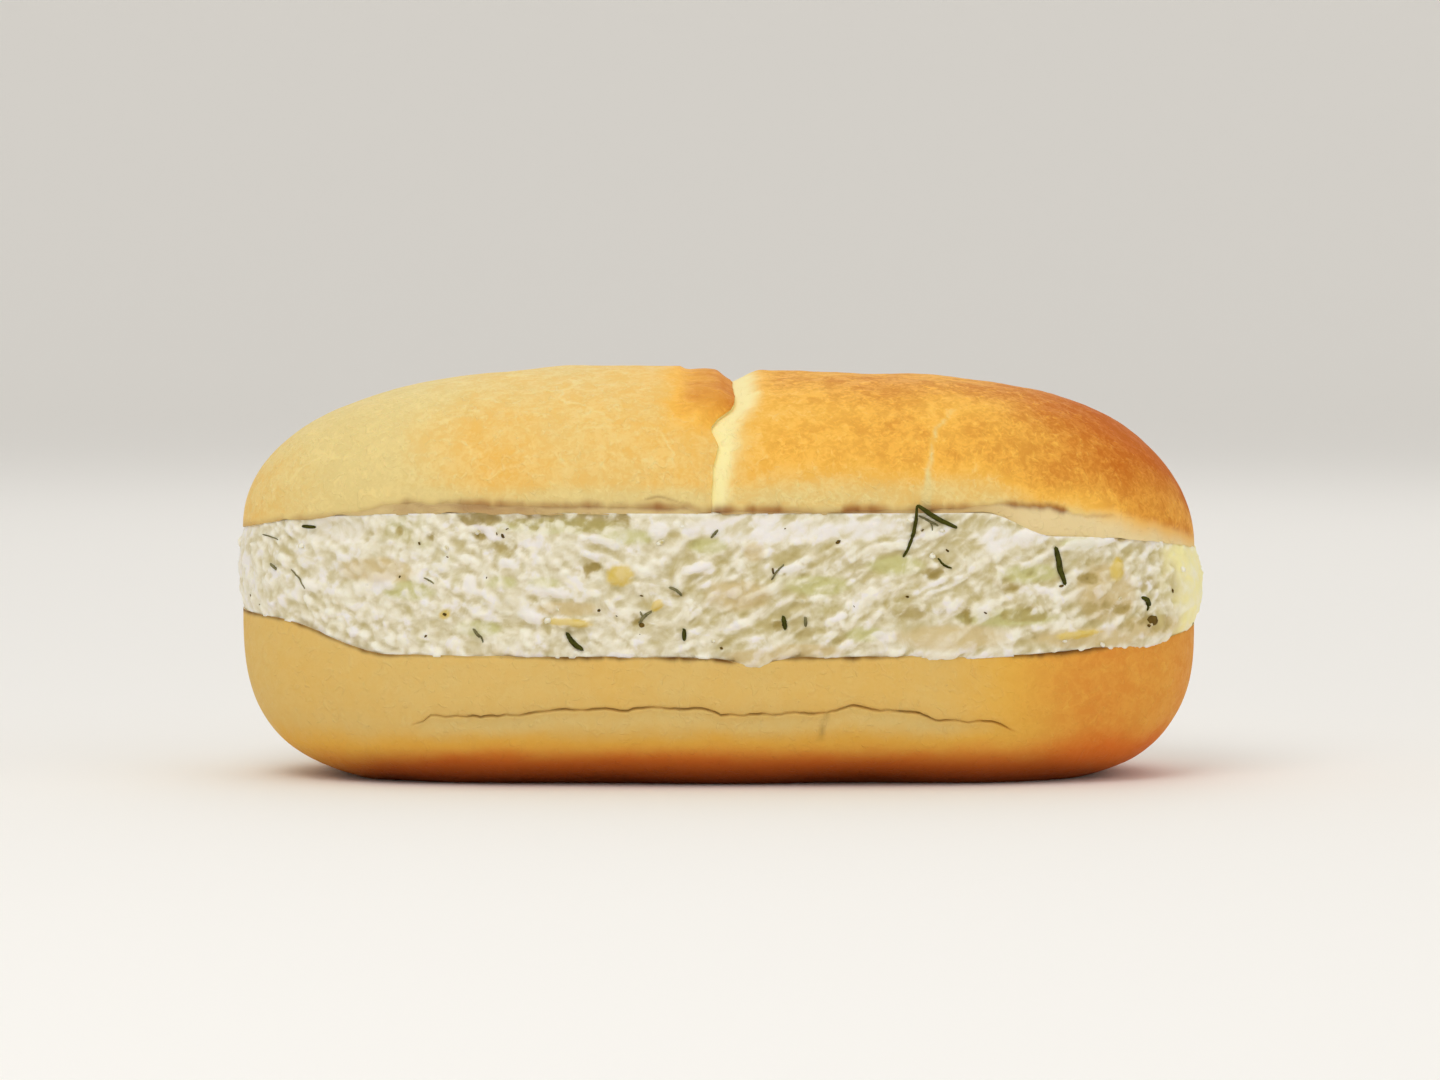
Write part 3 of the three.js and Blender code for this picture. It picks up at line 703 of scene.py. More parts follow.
def crown_masks(x, turns, y, z, past, above):
    """How baked the crown is, and where its dough, crumb and scorched edge show."""
    high = np.sin(turns)
    side = np.sign(y)
    slope = mix(SPLIT_SLOPE["rim"], SPLIT_SLOPE["top"], high)
    right = smooth(2, 10, x)
    bake = along_line(x, CROWN_BAKE) + 0.05 * rough(x, y, z, 12, 3) + 0.13 * smooth(0.7, 0.95, high) * right
    bake = bake - 0.14 * smooth(0.6, 0.95, high) * smooth(-12, -35, x) * smooth(-72, -60, x)
    middle = smooth(66, 50, x) * smooth(-52, -44, x)
    bake = bake - mix(0.22, 0.43, right) * smooth(mix(5, 9, right), 2, above) * middle
    bake = bake - 0.18 * smooth(14, 3, above) * smooth(42, 54, x)
    mark = x - along_line(above, STRETCH_MARK) + 0.5 * rough(x, y, z, 3, 2)
    bake = bake - 0.4 * np.exp(-((mark / 0.45) ** 2)) * smooth(18, 11, above)
    lip = smooth(-10, -4, past + 1.4 * rough(x, y, z, 4, 2)) * (past < 0.2)
    lip = lip * smooth(0.45, 0.8, high + 0.06 * rough(x, y, z, 3, 2))
    bake = bake + lip * (0.41 + 0.1 * smooth(-4, 0, past) + 0.1 * rough(x * 0.4, y, z, 1.6, 3))
    worn = past / slope + 0.2 * rough(x, y, z, 3, 3)
    dough = smooth(-0.1, 0.25, past) * (1 - smooth(0.4, 1.05, worn))
    soft = crumb_softness(x)
    over = above - crumb_strip(x, side)
    bare = mix(CRUMB_BARE["left"], CRUMB_BARE["right"], smooth(CRUMB_BARE["from"], CRUMB_BARE["to"], x))
    crumb = bare * (1 - smooth(-soft, soft, over + 0.35 * soft * rough(x, y, z, 4, 3)))
    brown = edge_line(x, CROWN_LINE, side)
    thin = mix(0.34, 0.88, brown) * mix(1, 0.7, smooth(38, 44, x))
    scorch = 0.78 * brown**1.2 * np.exp(-(((over - 0.15 * brown) / thin) ** 2))
    bake = bake + 0.12 * brown * smooth(44, 38, x) * smooth(1.8, 0.3, over) - 0.15 * smooth(1.4, 0.4, over) * (1 - brown)
    edge, _ = flake_line(x, above, side)
    tan = (1 - bare) * smooth(0.1, -0.3, over) * along_line(x, CRUMB_BROWN) * (1 + 0.5 * rough(x, y, z * 2, 3, 3))
    scorch = np.clip(np.maximum(np.maximum(scorch, 0.3 * edge), tan), 0, 1)
    flecks = mix(0.75, 1, right) * smooth(0.2, 1.5, over) * (1 - 0.6 * lip) * mix(1, 0.75, smooth(38, 62, x))
    veined = mix(0.9, 0, right) * smooth(3, 6, above) * (1 - dough)
    return {"bake": bake, "dough": dough, "crumb": crumb, "scorch": scorch, "char": 0 * crumb, "flecks": flecks,
            "veins": veined}


def crown_surface(bread):
    x = stations(348, 0)[:, None]
    turns = rim_rows(246)[None, :]
    across, rise, z = crust_points(x, turns, UPPER_CUT, crown_rise, 1, CROWN_SECTION)
    high = np.maximum(0, np.sin(turns))
    shift = along_line(turns, SPLIT_PATH) * (1 - smooth(0, SPLIT_REACH, np.abs(x)))
    jag = 0.32 * rough(turns * 30, 4, 8, 3, 3) * np.exp(-((x / 3) ** 2))
    hang, outward = split_profile(x, high, bread.split_depth / MM, bread.lip / MM)
    side = np.sign(across)
    strip = crumb_strip(x, side)
    sharp = smooth(2, 0.2, crumb_softness(x))
    step = 0.28 * sharp * (1 - smooth(strip - 0.2, strip + 0.15, rise))
    tuck = 0.14 * sharp * np.maximum(0, strip - rise)
    _, lifted = flake_line(x, rise, side)
    step = step + FLAKE["height"] * lifted
    wrinkle = bread.wrinkle / MM
    fine = wrinkle * (rough(x, across, z, 2.6, 3) - 0.6) * mix(0.6, 1, smooth(0, 10, x))
    offset = crust_relief(x, across, z) + outward + fine - step - tuck
    y, top = ring_points(x, across, rise, offset, UPPER_CUT, 1)
    ragged = bread.ragged / MM * rough(x, side * 5, 2, 3.4, 3) * np.exp(-rise / 1.6)
    top = top + ragged
    px = x + shift + jag + hang
    masks = crown_masks(px, turns, y, top, x + 0 * turns, rise)
    front, back = (px[:, 0], y[:, 0], top[:, 0]), (px[:, -1], y[:, -1], top[:, -1])
    steps = 26
    fx, fy, fz = cut_face(front, back, x, steps, 1, UPPER_CUT)
    rings = np.stack([np.hstack([px, fx]), np.hstack([y, fy]), np.hstack([top, fz])], axis=-1)
    empty = np.zeros_like(fx)
    full = {name: np.hstack([values + 0 * px, empty + (name == "crumb")]) for name, values in masks.items()}
    return rings, full


def with_poles(rings, masks, face):
    """Closes rings into points, faces and masks."""
    poles = [(s * HALF_LENGTH, 0, float(cut(np.array(s * HALF_LENGTH), face))) for s in (-1, 1)]
    points, faces = loft(rings, *poles)
    values = {name: np.concatenate([[m[0].mean()], m.ravel(), [m[-1].mean()]]) for name, m in masks.items()}
    return points, faces, values


# Heel.


def crease_height(x):
    return along_line(x, CREASE_LINE) + 0.42 * rough(x, 3, 7, 1.8, 4)


def crease_turn(x):
    """The crease's turn round the heel's front. Past its ends it stays where it was."""
    inside = np.clip(x, CREASE["from"], CREASE["to"])
    share = (cut(inside, LOWER_CUT) - crease_height(inside)) / heel_drop(inside)
    return np.arcsin(share ** (HEEL_SECTION["top"] / 2))


def heel_turns(x):
    """Turns for each place along the roll, with close rows along the crease."""
    middle = crease_turn(x)
    half = CREASE["half_turn"]
    above = np.linspace(0, 1, 48)[None, :-1] ** 1.9 * (middle - half)
    close = middle + half * np.linspace(-1, 1, 17)[None, :] ** 3
    below = mix(middle + half, math.pi, 1 - (1 - np.linspace(0, 1, 142)[None, 1:]) ** 1.5)
    return np.hstack([above, close, below])


def heel_masks(x, turns, y, z, above, groove):
    front = smooth(0.2, 1, -y / 10)
    right = smooth(32, 60, x)
    bake = 0.3 + 0.05 * rough(x, y, z, 16, 2) + 0.46 * right
    # Just below the crease the crust is made less baked: a painted highlight on the bulge under the fold.
    below = (z - crease_height(x) + 1.5) / 1.2
    bake = bake - 0.06 * np.exp(-(below**2)) * front * smooth(48, 40, np.abs(x))
    faded = 0.5 * smooth(40, 64, -x) + 0.5 * smooth(30, 52, x)
    base = smooth(9.8, 1.2, z + 0.4 * rough(x, y, z, 11, 2) + rough(x * 0.6, y, z, 4, 3)) * (1 - faded)
    bake = bake + 0.85 * base
    dark = 0.86 * smooth(6.5, 0.7, z) * (1 - 0.7 * smooth(50, 64, np.abs(x)))
    # The dark line on the heel's cut edge is brown crust and painted shade of the gap under the cheese; the crease and
    # the crack are darkened with painted shade.
    brown = edge_line(x, HEEL_LINE, np.sign(y))
    line = 0.95 * brown * np.exp(-(((above - 0.1) / mix(0.16, 0.52, brown**2)) ** 2))
    crack = CRACK["x"] + CRACK["lean"] * (z - CRACK["high"]) + 0.3 * rough(z, 1, 2, 1.6, 2) - x
    cracked = np.exp(-((crack / 0.32) ** 2)) * (z > CRACK["low"]) * (z < CRACK["high"]) * (y < 0)
    char = np.maximum(line, 0.45 * np.maximum(0.8 * groove, 0.8 * cracked))
    return {"bake": bake, "dough": 0 * z, "crumb": 0 * z, "scorch": dark, "char": char,
            "flecks": (0.22 + 0.2 * right) * (1 - base) + 0 * z, "veins": 0.1 * (1 - base)}


def heel_surface(bread):
    x = stations(330)[:, None]
    turns = heel_turns(x)
    across, drop, z = crust_points(x, turns, LOWER_CUT, heel_drop, -1, HEEL_SECTION)
    along = smooth(CREASE["from"], CREASE["from"] + 3, x) * (1 - smooth(CREASE["to"] - 3, CREASE["to"], x))
    away = (turns - crease_turn(x)) / CREASE["half_turn"]
    groove = along * np.exp(-((away / 0.13) ** 2)) * mix(0.5, 1, smooth(-0.4, 0.4, rough(x, 0, 5, 2.6, 3)))
    fold = along * (0.25 * np.exp(-(((away + 1.2) / 1.6) ** 2)) - 0.2 * np.exp(-(((away - 0.9) / 0.8) ** 2)))
    side = np.sign(across)
    wrinkle = bread.wrinkle / MM
    fine = 0.6 * wrinkle * (rough(x, across, z, 2.8, 3) - 0.6)
    offset = crust_relief(x, across + 40, z) - bread.crease_depth / MM * groove + fold + fine
    offset = offset - 0.15 * np.exp(-drop / 0.5)
    y, bottom = ring_points(x, across, drop, offset, LOWER_CUT, -1)
    ragged = 0.6 * bread.ragged / MM * rough(x, side * 5, 6, 4.2, 3) * np.exp(-drop / 1.4)
    bottom = bottom + ragged
    for place_along, half_length, rise in RIM_MOVES:
        bottom = bottom + rise * np.exp(-(((x - place_along) / half_length) ** 2)) * np.exp(-drop / 2.4) * (side < 0)
    masks = heel_masks(x, turns, y, bottom, drop, groove)
    px = x + 0 * y
    front, back = (px[:, 0], y[:, 0], bottom[:, 0]), (px[:, -1], y[:, -1], bottom[:, -1])
    fx, fy, fz = cut_face(front, back, x, 26, -1, LOWER_CUT)
    rings = np.stack([np.hstack([px, fx]), np.hstack([y, fy]), np.hstack([bottom, fz])], axis=-1)
    full = {name: np.hstack([m + 0 * px, 0 * fx + (name == "crumb")]) for name, m in masks.items()}
    return rings[:, ::-1], {name: m[:, ::-1] for name, m in full.items()}


# Filling.


def outline(count):
    """The bread's outline from above as evenly spaced points, clockwise, with the outward direction at each."""
    turns = -2 * math.pi * np.arange(4001) / 4000
    c, s = np.cos(turns), np.sin(turns)
    corners = np.stack([
        HALF_LENGTH * np.sign(c) * np.abs(c) ** (2 / OUTLINE_ALONG),
        HALF_WIDTH * np.sign(s) * np.abs(s) ** (2 / OUTLINE_ACROSS),
    ], axis=-1)
    gone = np.concatenate([[0], np.cumsum(np.linalg.norm(np.diff(corners, axis=0), axis=1))])
    places = np.arange(count) / count * gone[-1]
    at = np.stack([np.interp(places, gone, corners[:, axis]) for axis in (0, 1)], axis=-1)
    along = np.roll(at, -1, axis=0) - np.roll(at, 1, axis=0)
    along /= np.linalg.norm(along, axis=1)[:, None]
    return at, np.stack([-along[:, 1], along[:, 0]], axis=-1)


def band_limits(x):
    inside = np.clip(x, -HALF_LENGTH, HALF_LENGTH)
    return cut(inside, LOWER_CUT) - BAND["overlap"], cut(inside, UPPER_CUT) + BAND["overlap"]


def turned(x, y):
    """Place along the front. The back has the front's patches, turned round."""
    return np.where(y < 0, x, -x)


def patches(x, y, z, ovals, unevenness=0.3, size=2.4):
    """1 in any of some oval patches, with soft edges whose unevenness has features of the given size. A patch may
    have a lean after its half sizes."""
    along = turned(x, y)
    uneven = unevenness * rough(x, y, z, size, 3)
    inside = np.zeros(np.shape(x))
    for place, height, half_length, half_height, *lean in ovals:
        turn = math.radians(sum(lean))
        level = (along - place) * math.cos(turn) + (z - height) * math.sin(turn)
        upright = (z - height) * math.cos(turn) - (along - place) * math.sin(turn)
        away = (level / half_length) ** 2 + (upright / half_height) ** 2
        inside = np.maximum(inside, smooth(1.35, 0.45, away + uneven))
    return inside


def calmness(x, y, z):
    """How smooth the cheese is: more so at its ends, its right end most, and where it is smeared."""
    ends = np.maximum(0.6 * smooth(67, 73, x), 0.45 * smooth(-66, -72, x))
    return np.maximum(ends, 0.55 * patches(x, y, z, SMEARS, 0.6))


def hollows(x, y, z):
    return patches(x, y, z, HOLLOWS, 0.9, 1.3)


def gaps(x, y, z):
    return patches(x, y, z, GAPS, 0.4, 2.2)


def leaning_places(x, y, z):
    """Places along and across the lean of the curds, at the left and at the right, each with its share."""
    along = turned(x, y)
    right = smooth(*LEAN_CHANGE, along + 5 * noise(along / 5, y / 5, z / 5))
    wander = WANDER["by"] * noise(along / WANDER["size"], y / WANDER["size"], z / WANDER["size"] + 3)
    along, z = along + wander, z + wander * np.sin(along / WANDER["size"])
    for lean, share in ((CURD_LEAN["left"], 1 - right), (CURD_LEAN["right"], right)):
        c, s = math.cos(math.radians(lean)), math.sin(math.radians(lean))
        yield along * c + z * s, z * c - along * s, share


def strokes(x, y, z):
    """Long soft ridges, from about -1 to 1."""
    total = 0
    for u, v, share in leaning_places(x, y, z):
        total = total + share * rough(u / STROKE["along"], y / STROKE["deep"], v / STROKE["across"], 1, 3)
    return total


def grains(x, y, z, rightwards):
    """Rounded grains with creases between them, in millimetres out of the cheese."""
    total = 0
    for u, v, share in leaning_places(x, y, z):
        bend = 0.35 * noise(u / 1.5, y / 1.5, v / 1.5)
        for grain in GRAINS:
            away = cell_distance(u / grain["along"] + bend, y / grain["deep"], v / grain["across"] - bend)
            total = total + share * mix(grain["left"], grain["right"], rightwards) * (0.5 - away)
    return total


def band_offset(x, y, z, share):
    """How far the cheese stands off the bread's outline, before its curds are added."""
    middle = 1 - (2 * share - 1) ** 2
    end = by_end(x, BAND["end_belly"]) * smooth(0.9, 1, np.abs(x / HALF_LENGTH))
    waves = 0.9 * (1 - calmness(x, y, z)) * (rough(x, y, z * 1.3, 8, 2) - 0.3) * mix(0.35, 1, middle)
    sunk = 0.7 * hollows(x, y, z) + GAP_DEPTH * (gaps(x, y, z) + patches(x, y, z, WHITE_SMEARS[:1]))
    return mix(-BAND["recess"], BAND["belly"] + end, middle) + waves - sunk


def band_points(at, out, share):
    """Points on the band: at and out are outline points, share is how far up the band."""
    low, high = band_limits(at[..., 0])
    z = mix(low, high, share)
    offset = band_offset(at[..., 0], at[..., 1], z, share)
    return np.stack([at[..., 0] + out[..., 0] * offset, at[..., 1] + out[..., 1] * offset, z], axis=-1)


def filling_core():
    """The body of the cheese, without its curds."""
    at, out = outline(420)
    rings = []
    shares = (0.3, 0.6, 0.8, 0.95)
    for share in shares:
        rings.append(cover_points(at, out, share, 0))
    for row in range(41):
        rings.append(band_points(at, out, row / 40))
    for share in reversed(shares):
        rings.append(cover_points(at, out, share, 1))
    low, high = band_limits(np.array(0.0))
    return loft(np.array(rings), (0, 0, float(low)), (0, 0, float(high)))


def cover_points(at, out, share, top):
    edge = band_points(at, out, top)
    x = edge[:, 0] * mix(1, share, COVER_INWARDS * smooth(0.8, 1, np.abs(edge[:, 0] / HALF_LENGTH)))
    return np.stack([x, edge[:, 1] * share, band_limits(x)[top]], axis=-1)


def ball(detail):
    """A ball of triangles about its centre."""
    shape = bmesh.new()
    bmesh.ops.create_icosphere(shape, subdivisions=detail, radius=1)
    points = np.array([corner.co[:] for corner in shape.verts])
    faces = np.array([[corner.index for corner in face.verts] for face in shape.faces])
    shape.free()
    return points, faces


def joined_lumps(centres, frames, radii, detail, bumps, draw):
    """Lumps of given half sizes, each turned into its own frame and made uneven, as one mesh."""
    corners, corner_faces = ball(detail)
    count = len(centres)
    uneven = draw.normal(0, bumps, (count, len(corners), 1)) + 1
    local = corners[None] * uneven * radii[:, None, :]
    points = np.einsum("cpi,cij->cpj", local, frames) + centres[:, None, :]
    faces = corner_faces[None] + (np.arange(count) * len(corners))[:, None, None]
    return points.reshape(-1, 3), faces.reshape(-1, 3)


def unit(vectors):
    return vectors / np.maximum(1e-9, np.linalg.norm(vectors, axis=-1, keepdims=True))


def leaning_frames(outward, lean):
    """Frames whose third axis is outward and whose first leans from level by an angle."""
    level = unit(np.stack([-outward[:, 1], outward[:, 0], 0 * lean], axis=-1))
    upright = np.cross(outward, level)
    first = unit(level * np.cos(lean)[:, None] + upright * np.sin(lean)[:, None])
    return np.stack([first, np.cross(outward, first), outward], axis=1)


def curd_lumps(filling):
    """Curds that stand on the band: flat ovals that lean one way at the left and the other at the right."""
    draw = np.random.default_rng(7)
    ring_at, ring_out = outline(2400)
    parts = []
    for kind in CURD_KINDS:
        count = int(filling.curds * kind["share"])
        index = (draw.random(count) * len(ring_at)).astype(int)
        at, out = ring_at[index], ring_out[index]
        share = draw.uniform(0.02, 0.98, count)
        seat = band_points(at, out, share)
        x, y, z = seat.T
        lively = 1 - calmness(x, y, z)
        size = filling.curd / MM * mix(*kind["sizes"], draw.random(count) ** 1.6) * mix(0.5, 1, lively)
        radii = size[:, None] * np.array(kind["shape"]) * draw.uniform(0.75, 1.25, (count, 3))
        outward = unit(np.stack([out[:, 0], out[:, 1], draw.normal(0, 0.35, count)], axis=-1))
        lean = np.radians(mix(CURD_LEAN["left"], CURD_LEAN["right"], smooth(-30, 12, turned(x, y))))
        frames = leaning_frames(outward, lean + draw.normal(0, kind["spread"], count))
        proud = draw.uniform(*kind["proud"], count) * mix(0.5, 1, np.sin(math.pi * share)) * mix(0.15, 1, lively)
        proud = proud * (1 - 0.6 * hollows(x, y, z))
        parts.append(joined_lumps(seat + outward * (proud - radii[:, 2])[:, None], frames, radii, 2, 0.1, draw))
    return parts


def side_place(x, back=False):
    """The outline's point and outward direction nearest to a place along the front, or turned round to the back."""
    at, out = outline(2400)
    facing = at[:, 1] > 0 if back else at[:, 1] < 0
    index = int(np.argmin(np.where(facing, np.abs(at[:, 0] - (-x if back else x)), 999)))
    return at[index], out[index]


def named_lumps():
    """The yellow and the white lumps, and the cheese that hangs over the heel's edge."""
    draw = np.random.default_rng(11)
    centres, outward, radii, leans = [], [], [], []
    for back in (False, True):
        for x, height, half_length, half_height, lean in BUTTERS + WHITES:
            at, out = side_place(x, back)
            centres.append((*(at - 0.6 * out), height))
            radii.append((half_length, half_height, 1.1))
            outward.append((*out, 0.1))
            leans.append(math.radians(lean))
        for x, half_length, hang in DROOPS:
            at, out = side_place(x, back)
            centres.append((*(at - 0.6 * out), float(cut(at[0], LOWER_CUT)) + 2))
            radii.append((half_length, hang + 2, 1.0))
            outward.append((*out, 0.0))
            leans.append(0.0)
    frames = leaning_frames(unit(np.array(outward)), np.array(leans))
    return joined_lumps(np.array(centres), frames, np.array(radii), 3, 0.02, draw)


def remeshed(points, faces, voxel):
    """The outer skin of overlapping closed meshes, as points and quads."""
    source = make_object("unjoined cheese", points, faces)
    modifier = source.modifiers.new("join", "REMESH")
    modifier.mode = "VOXEL"
    modifier.voxel_size = voxel * MM
    shape = source.evaluated_get(bpy.context.evaluated_depsgraph_get()).to_mesh()
    found = np.empty(len(shape.vertices) * 3)
    shape.vertices.foreach_get("co", found)
    corners = np.empty(len(shape.loops), dtype=int)
    shape.loops.foreach_get("vertex_index", corners)
    sizes = np.empty(len(shape.polygons), dtype=int)
    shape.polygons.foreach_get("loop_total", sizes)
    bpy.data.objects.remove(source)
    if not (sizes == 4).all():
        raise RuntimeError("the joined cheese should have quads alone")
    return found.reshape(-1, 3) / MM, corners.reshape(-1, 4)


def neighbours_mean(values, faces):
    """Each point's mean over the points that share an edge with it."""
    a = faces.ravel()
    b = np.roll(faces, -1, axis=1).ravel()
    total = np.zeros_like(values)
    for axis in range(values.shape[1]):
        total[:, axis] = np.bincount(a, values[b, axis], len(values)) + np.bincount(b, values[a, axis], len(values))
    count = np.bincount(a, minlength=len(values)) + np.bincount(b, minlength=len(values))
    return total / count[:, None]


def relaxed(points, faces, times, strength=0.5):
    for _ in range(times):
        points = mix(points, neighbours_mean(points, faces), strength)
    return points


def point_normals(points, faces):
    diagonal_a = points[faces[:, 2]] - points[faces[:, 0]]
    diagonal_b = points[faces[:, 3]] - points[faces[:, 1]]
    flat = np.cross(diagonal_a, diagonal_b)
    normals = np.zeros_like(points)
    for corner in range(4):
        for axis in range(3):
            normals[:, axis] += np.bincount(faces[:, corner], flat[:, axis], len(points))
    return normals / np.maximum(1e-9, np.linalg.norm(normals, axis=1))[:, None]


def plain_covers(values, faces):
    """Takes out the cheese's top and bottom where the bread hides them, and closes each with a flat fan.
    values hold a point in their first three columns."""
    x, y = values[:, 0], values[:, 1]
    rim = np.abs(x / HALF_LENGTH) ** OUTLINE_ALONG + np.abs(y / HALF_WIDTH) ** OUTLINE_ACROSS
    hidden = rim < 0.78
    faces = faces[~hidden[faces].all(axis=1)]
    a, b = faces.ravel(), np.roll(faces, -1, axis=1).ravel()
    edges = set(zip(a.tolist(), b.tolist()))
    after = {second: first for first, second in edges if (second, first) not in edges}
    fans, centres = [], []
    while after:
        loop = [next(iter(after))]
        while after[loop[-1]] != loop[0]:
            loop.append(after[loop[-1]])
        for corner in loop:
            after.pop(corner)
        middle = len(values) + len(centres)
        centres.append(values[loop].mean(axis=0))
        fans += [(middle, p, q) for p, q in zip(loop, loop[1:] + loop[:1])]
    values = np.concatenate([values, np.array(centres)])
    used = np.unique(np.concatenate([faces.ravel(), np.array(fans).ravel()]))
    renumber = np.full(len(values), -1)
    renumber[used] = np.arange(len(used))
    return values[used], renumber[faces].tolist() + renumber[np.array(fans)].tolist()


def outside(x, y):
    """How far a place is outside the bread's outline, in millimetres and nearly right close to it."""
    rim = np.abs(x / HALF_LENGTH) ** OUTLINE_ALONG + np.abs(y / HALF_WIDTH) ** OUTLINE_ACROSS
    along = OUTLINE_ALONG * np.abs(x / HALF_LENGTH) ** (OUTLINE_ALONG - 1) / HALF_LENGTH
    across = OUTLINE_ACROSS * np.abs(y / HALF_WIDTH) ** (OUTLINE_ACROSS - 1) / HALF_WIDTH
    return (rim - 1) / np.maximum(1e-3, np.hypot(along, across))


def between_rims(points):
    """Keeps cheese that stands out from covering the bread's rims, apart from where it hangs over the heel's."""
    x, y, z = points.T
    inside = np.clip(x, -HALF_LENGTH, HALF_LENGTH)
    hidden = BAND["overlap"] * smooth(-0.8, -1.6, outside(x, y))
    hang = 0
    for place_along, half_length, drop in DROOPS:
        hang = np.maximum(hang, drop * np.exp(-(((turned(x, y) - place_along) / half_length) ** 2)))
    low = cut(inside, LOWER_CUT) - np.maximum(hidden, 0.2 + hang)
    high = cut(inside, UPPER_CUT) + np.maximum(hidden, 0.1)
    return np.column_stack([x, y, np.clip(z, low, high)])


def butter_mask(x, y, z):
    """1 on the yellow lumps."""
    return patches(x, y, z, BUTTERS, 0.9, 1.6)


def white_mask(x, y, z):
    """1 on the white smears and lumps. The leftmost of them are less so, which paints the shade of the crown's rim."""
    white = np.maximum(patches(x, y, z, WHITE_SMEARS, 0.7), 0.9 * patches(x, y, z, WHITES, 0.7, 1.4))
    return white * mix(0.5, 1, smooth(-53, -48, turned(x, y)))


def cheese_surface(filling):
    """Points, faces and masks of the cheese: its core and curds joined, then made crumbly."""
    points, faces = filling_core()
    for more_points, more_faces in (*curd_lumps(filling), named_lumps()):
        faces = faces + (more_faces + len(points)).tolist()
        points = np.concatenate([points, more_points])
    points, quads = remeshed(points, faces, filling.voxel / MM)
    points = relaxed(points, quads, 1)
    normals = point_normals(points, quads)
    x, y, z = points.T
    lively = 1 - calmness(x, y, z)
    rightwards = smooth(*LEAN_CHANGE, turned(x, y))
    stroke = strokes(x, y, z) * mix(0.45, 1, rightwards)
    crumbly = mix(0.5, 1, smooth(-0.6, 0.3, rough(x, y, z, 8, 2))) * mix(0.1, 1, lively)
    fine = crumbly * grains(x, y, z, rightwards) + 0.5 * stroke * mix(0.15, 1, lively)
    points = points + normals * np.clip(fine, -0.45, 0.35)[:, None]
    points = between_rims(points)
    # pit is how far each point lies below a much smoothed copy of the cheese; the material paints shade with it.
    even = relaxed(points, quads, 25)
    pit = ((even - points) * normals).sum(axis=1)
    values, faces = plain_covers(np.column_stack([points, pit, stroke]), quads)
    points, pit, stroke = values[:, :3], values[:, 3], values[:, 4]
    x, y, z = points.T
    by_chance = 0.6 * smooth(0.35, 0.8, rough(x, y, z * 1.4, 9, 3))
    masks = {
        "pit": pit + 0.1 * smooth(*LEAN_CHANGE, turned(x, y)), "stroke": stroke,
        "cap": smooth(66, 73.5, x + 4 * rough(x, y, z, 5, 3)),
        "olive": np.maximum(hollows(x, y, z), 0.8 * np.maximum(patches(x, y, z, SHADES, 1.4, 2), gaps(x, y, z))),
        "butter": butter_mask(x, y, z), "green": np.maximum(patches(x, y, z, GREENS), by_chance),
        "beige": patches(x, y, z, BEIGES), "smear": white_mask(x, y, z),
    }
    return points, faces, masks


def cheese_material(filling):
    material, nodes, sockets = new_material("white cheese", {
        "Subsurface Weight": 0.3, "Subsurface Radius": (1, 0.85, 0.6), "Subsurface Scale": 0.7 * MM,
        "Specular IOR Level": 0.45,
    })
    where = nodes.add("ShaderNodeTexCoord").outputs["Object"]
    # shade paints light and shade: it grows with pit and in the furrows between the strokes, so sunk parts turn yellow
    # and olive as painted shade and ridges stay white as painted light. A random patchy noise adds tone, and smears
    # make it lower.
    patchy = nodes.ramp(nodes.noise(where, 3.4, 4, 0.8, 0.6), 0.35, 0.65, -0.16, 0.16)
    ridges = nodes.ramp(nodes.mask("stroke"), -0.6, 0.6, 0.18, -0.18)
    pit = nodes.math("MULTIPLY", nodes.mask("pit"), 1.4)
    shade = nodes.math("ADD", nodes.math("ADD", pit, ridges), patchy)
    shade = nodes.math("SUBTRACT", shade, nodes.math("MULTIPLY", nodes.mask("smear"), 0.28))
    mixed = nodes.blend(nodes.ramp(shade, -0.5, 0.7), filling.cream, filling.painted_shade_and_tone)
    # Bluish white on smears and random bits, only where shade is low: partly painted highlight.
    bits = nodes.ramp(nodes.noise(where, 3.6, 3, 0.8), 0.5, 0.62)
    cool = nodes.math("MAXIMUM", nodes.math("MULTIPLY", nodes.mask("smear"), 0.8), bits)
    cool = nodes.math("MULTIPLY", cool, nodes.ramp(shade, 0.2, -0.3, 0, 0.8))
    mixed = nodes.blend(cool, mixed, filling.cool)
    tints = (("green", filling.green, 0.25, 0.65), ("beige", filling.beige, 0.5, 0.85),
             ("butter", filling.butter, 0.8, 1.0))
    for name, tint_and_painted_shade, least, most in tints:
        strength = nodes.math("MULTIPLY", nodes.mask(name), nodes.ramp(shade, -0.35, 0.35, least, most))
        mixed = nodes.blend(strength, mixed, tint_and_painted_shade)
    # The deepest parts, and the hollows, gaps and shade patches, turn olive: painted shade.
    gap = nodes.ramp(shade, 0.5, 1.1, 0, 0.6)
    mixed = nodes.blend(gap, mixed, filling.olive)
    deep = nodes.math("MULTIPLY", nodes.mask("olive"), nodes.ramp(shade, -0.35, 0.35, 0.1, 0.75))
    mixed = nodes.blend(deep, mixed, filling.olive)
    end = nodes.math("MULTIPLY", nodes.mask("cap"), nodes.ramp(shade, -0.3, 0.3, 0.55, 0.95))
    nodes.tree.links.new(nodes.blend(end, mixed, filling.cap), sockets["Base Color"])
    fine = nodes.noise(where, 0.5, 3)
    nodes.tree.links.new(nodes.ramp(fine, 0.3, 0.7, 0.36, 0.55), sockets["Roughness"])
    use_bump(nodes, sockets, fine, 0.08)
    return material


# What lies on the cheese.


RIM_LIFT = 0.8


